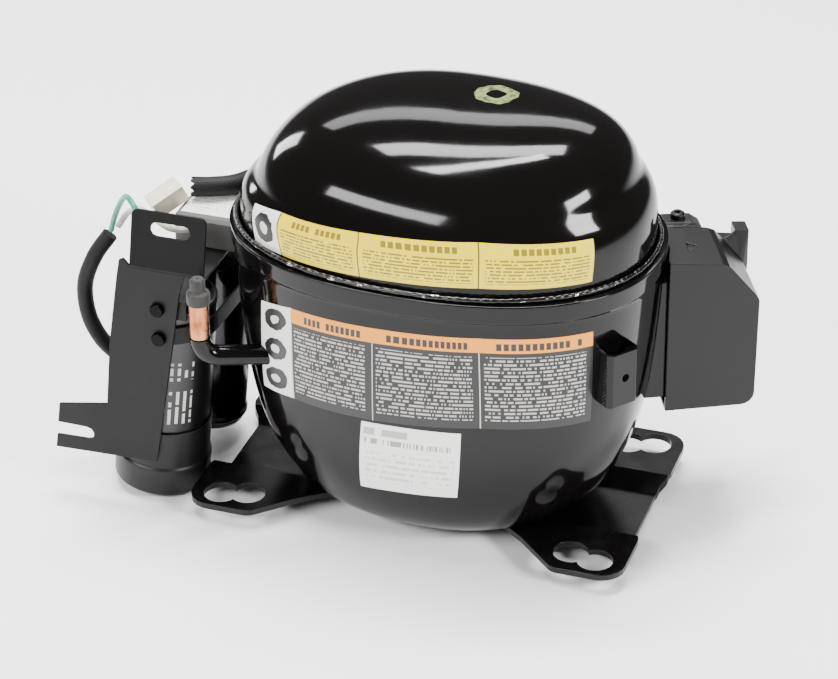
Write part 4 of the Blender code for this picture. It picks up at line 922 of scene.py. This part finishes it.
class MakeWiring(bpy.types.Operator):
    """Harness sleeve, cable loop and the two bare leads"""
    bl_idname = "compressor.make_wiring"
    bl_label = "Wiring"

    def execute(self, context):
        route = smooth_route(HARNESS, 200)
        grid = tube_grid(route, HARNESS_RADIUS, HARNESS_SIDES, (0, 0, 1))
        slope = (route[1] - route[0]) / np.linalg.norm(route[1] - route[0])
        saw = (np.arange(HARNESS_SIDES) / HARNESS_SIDES * TEETH) % 1.0
        teeth = slope * (np.abs(saw * 2 - 1)[:, None] * TOOTH_DEPTH)
        mouth = route[0] + (grid[0] - route[0]) * MOUTH
        floor = route[0] + (grid[0] - route[0]) * 0.1 + slope * 6
        rows = np.vstack([[floor, mouth + slope * 5, mouth + teeth, grid[0] + teeth], grid[2:]])
        harness = wrapped("harness_braid", rows, braid(), "housing", ("harness_sleeve",))
        loop = braid("loop_woven_sleeve", "#121212", 28, 150)
        green = wire_skin("green_pvc", "#1f8f72", "#136b55")
        white = wire_skin("white_pvc", "#dcd9d0", "#a9a69d")
        for name, points, radius, level, finish, slot, node in (
            ("loop_jacket", LOOP, 4.0, (0, 1, 0.3), loop, "sleeve", "cable_loop"),
            ("ground_lead", GROUND, 1.4, (1, 0, 0.2), green, "green_wire", "ground_wire"),
            ("line_lead", LINE, 1.6, (0.2, 0.3, 1), white, "white_wire", "line_wire"),
        ):
            route = smooth_route(points, 72)
            piece = wrapped(name, tube_grid(route, radius, 28, level), finish, "housing", (node,))
        return {"FINISHED"}


MOTOR_X, MOTOR_Y = 10.0, 1.4
SPRING_REACH, SPRING_FOOT, SPRING_HEIGHT = 50.5, 16.8, 31.5
COILS, COIL_RADIUS = 4, 4.0


class MakeSprings(bpy.types.Operator):
    """Four coil springs that stretch between the shell and the motor"""
    bl_idname = "compressor.make_springs"
    bl_label = "Springs"

    def execute(self, context):
        steel = machined_steel("spring_steel", "#8b8c8f", 0.32)
        share = np.linspace(0, 1, 161)
        swing = 2 * math.pi * COILS * share
        for index in range(4):
            turn = math.radians(45 + 90 * index)
            x, y = MOTOR_X + SPRING_REACH * math.cos(turn), MOTOR_Y + SPRING_REACH * math.sin(turn)
            ring_x, ring_y = x + COIL_RADIUS * np.cos(swing), y + COIL_RADIUS * np.sin(swing)
            route = np.column_stack([ring_x, ring_y, SPRING_FOOT + SPRING_HEIGHT * share])
            grid = tube_grid(route, 0.9, 12, (0, 0, 1))
            node = f"suspension_spring_{index + 1}"
            coil = wrapped(f"coil_{index + 1}", grid, steel, None, (node,))
            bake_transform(coil)
        return {"FINISHED"}


class FinishFrame(bpy.types.Operator):
    """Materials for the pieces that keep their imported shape"""
    bl_idname = "compressor.finish_frame"
    bl_label = "Plate, brackets and pump"

    def execute(self, context):
        enamel, steel, iron = black_enamel(0.6), machined_steel(), cast_iron()
        plate, sheet, mould = plate_enamel(), sheet_paint(), moulded_black()
        black_screw = machined_steel("black_oxide_screw", "#161617", 0.4)
        copper, aluminium, grip = copper_tube(), cast_aluminium(), rubber()
        phenolic = moulded_black("brown_black_phenolic", "#1c1614", 0.4)
        case = moulded_black("grey_relay_case", "#5b5a57", 0.42)
        finishes = {
            "base_plate": plate, "service_bracket": enamel, "terminal_fence": enamel,
            "hermetic_terminal": steel, "terminal_pin_1": steel, "terminal_pin_2": steel,
            "terminal_pin_3": steel, "overload_protector": phenolic, "terminal_block": phenolic,
            "discharge_tube": copper, "process_tube": copper, "discharge_cap": grip, "process_cap": grip,
            "capacitor_bracket": sheet, "capacitor_strap": sheet, "relay_shelf": sheet,
            "shelf_screw": black_screw, "strap_screw": black_screw, "start_relay": case,
            "connector_housing": nylon(), "terminal_cover": mould, "cylinder_block": iron,
            "cylinder_head": iron, "stator_core": laminations(), "upper_winding": winding_copper(),
            "lower_winding": winding_copper(), "valve_plate": steel,
            "suction_muffler": nylon("muffler_nylon", "#d9cfae", "#bfb48f"), "head_screw_1": black_screw,
            "head_screw_2": black_screw, "discharge_loop": copper, "crankshaft": steel,
            "rotor_core": aluminium, "oil_pickup": steel, "connecting_rod": iron, "wrist_pin": steel,
            "piston": aluminium, "suction_reed": steel, "discharge_reed": steel,
        }
        for name, finish in finishes.items():
            mesh = bpy.data.objects[name].data
            mesh.materials.clear()
            mesh.materials.append(finish)
        return {"FINISHED"}


STEPS = (MakeStage, MakeWiring, MakeShell, MakeLabels, MakeStubs, MakeCapacitors, MakeSprings, FinishFrame)


class CompressorPanel(bpy.types.Panel):
    """The steps that finish the compressor, in order"""
    bl_idname = "VIEW3D_PT_compressor"
    bl_label = "Compressor"
    bl_space_type = "VIEW_3D"
    bl_region_type = "UI"
    bl_category = "Compressor"

    def draw(self, context):
        for step in STEPS:
            self.layout.operator(step.bl_idname)
        for name, group in SETTINGS:
            box = self.layout.box()
            for key in group.__annotations__:
                box.prop(getattr(context.scene, name), key)


CLASSES = (ShellSettings, StageSettings, *STEPS, CompressorPanel)


def register():
    for item in CLASSES:
        bpy.utils.register_class(item)
    for name, group in SETTINGS:
        setattr(bpy.types.Scene, name, PointerProperty(type=group))


def unregister():
    for name, _ in SETTINGS:
        delattr(bpy.types.Scene, name)
    for item in reversed(CLASSES):
        bpy.utils.unregister_class(item)


def main():
    register()
    for step in STEPS:
        group, name = step.bl_idname.split(".")
        getattr(getattr(bpy.ops, group), name)()


if __name__ == "__main__":
    main()
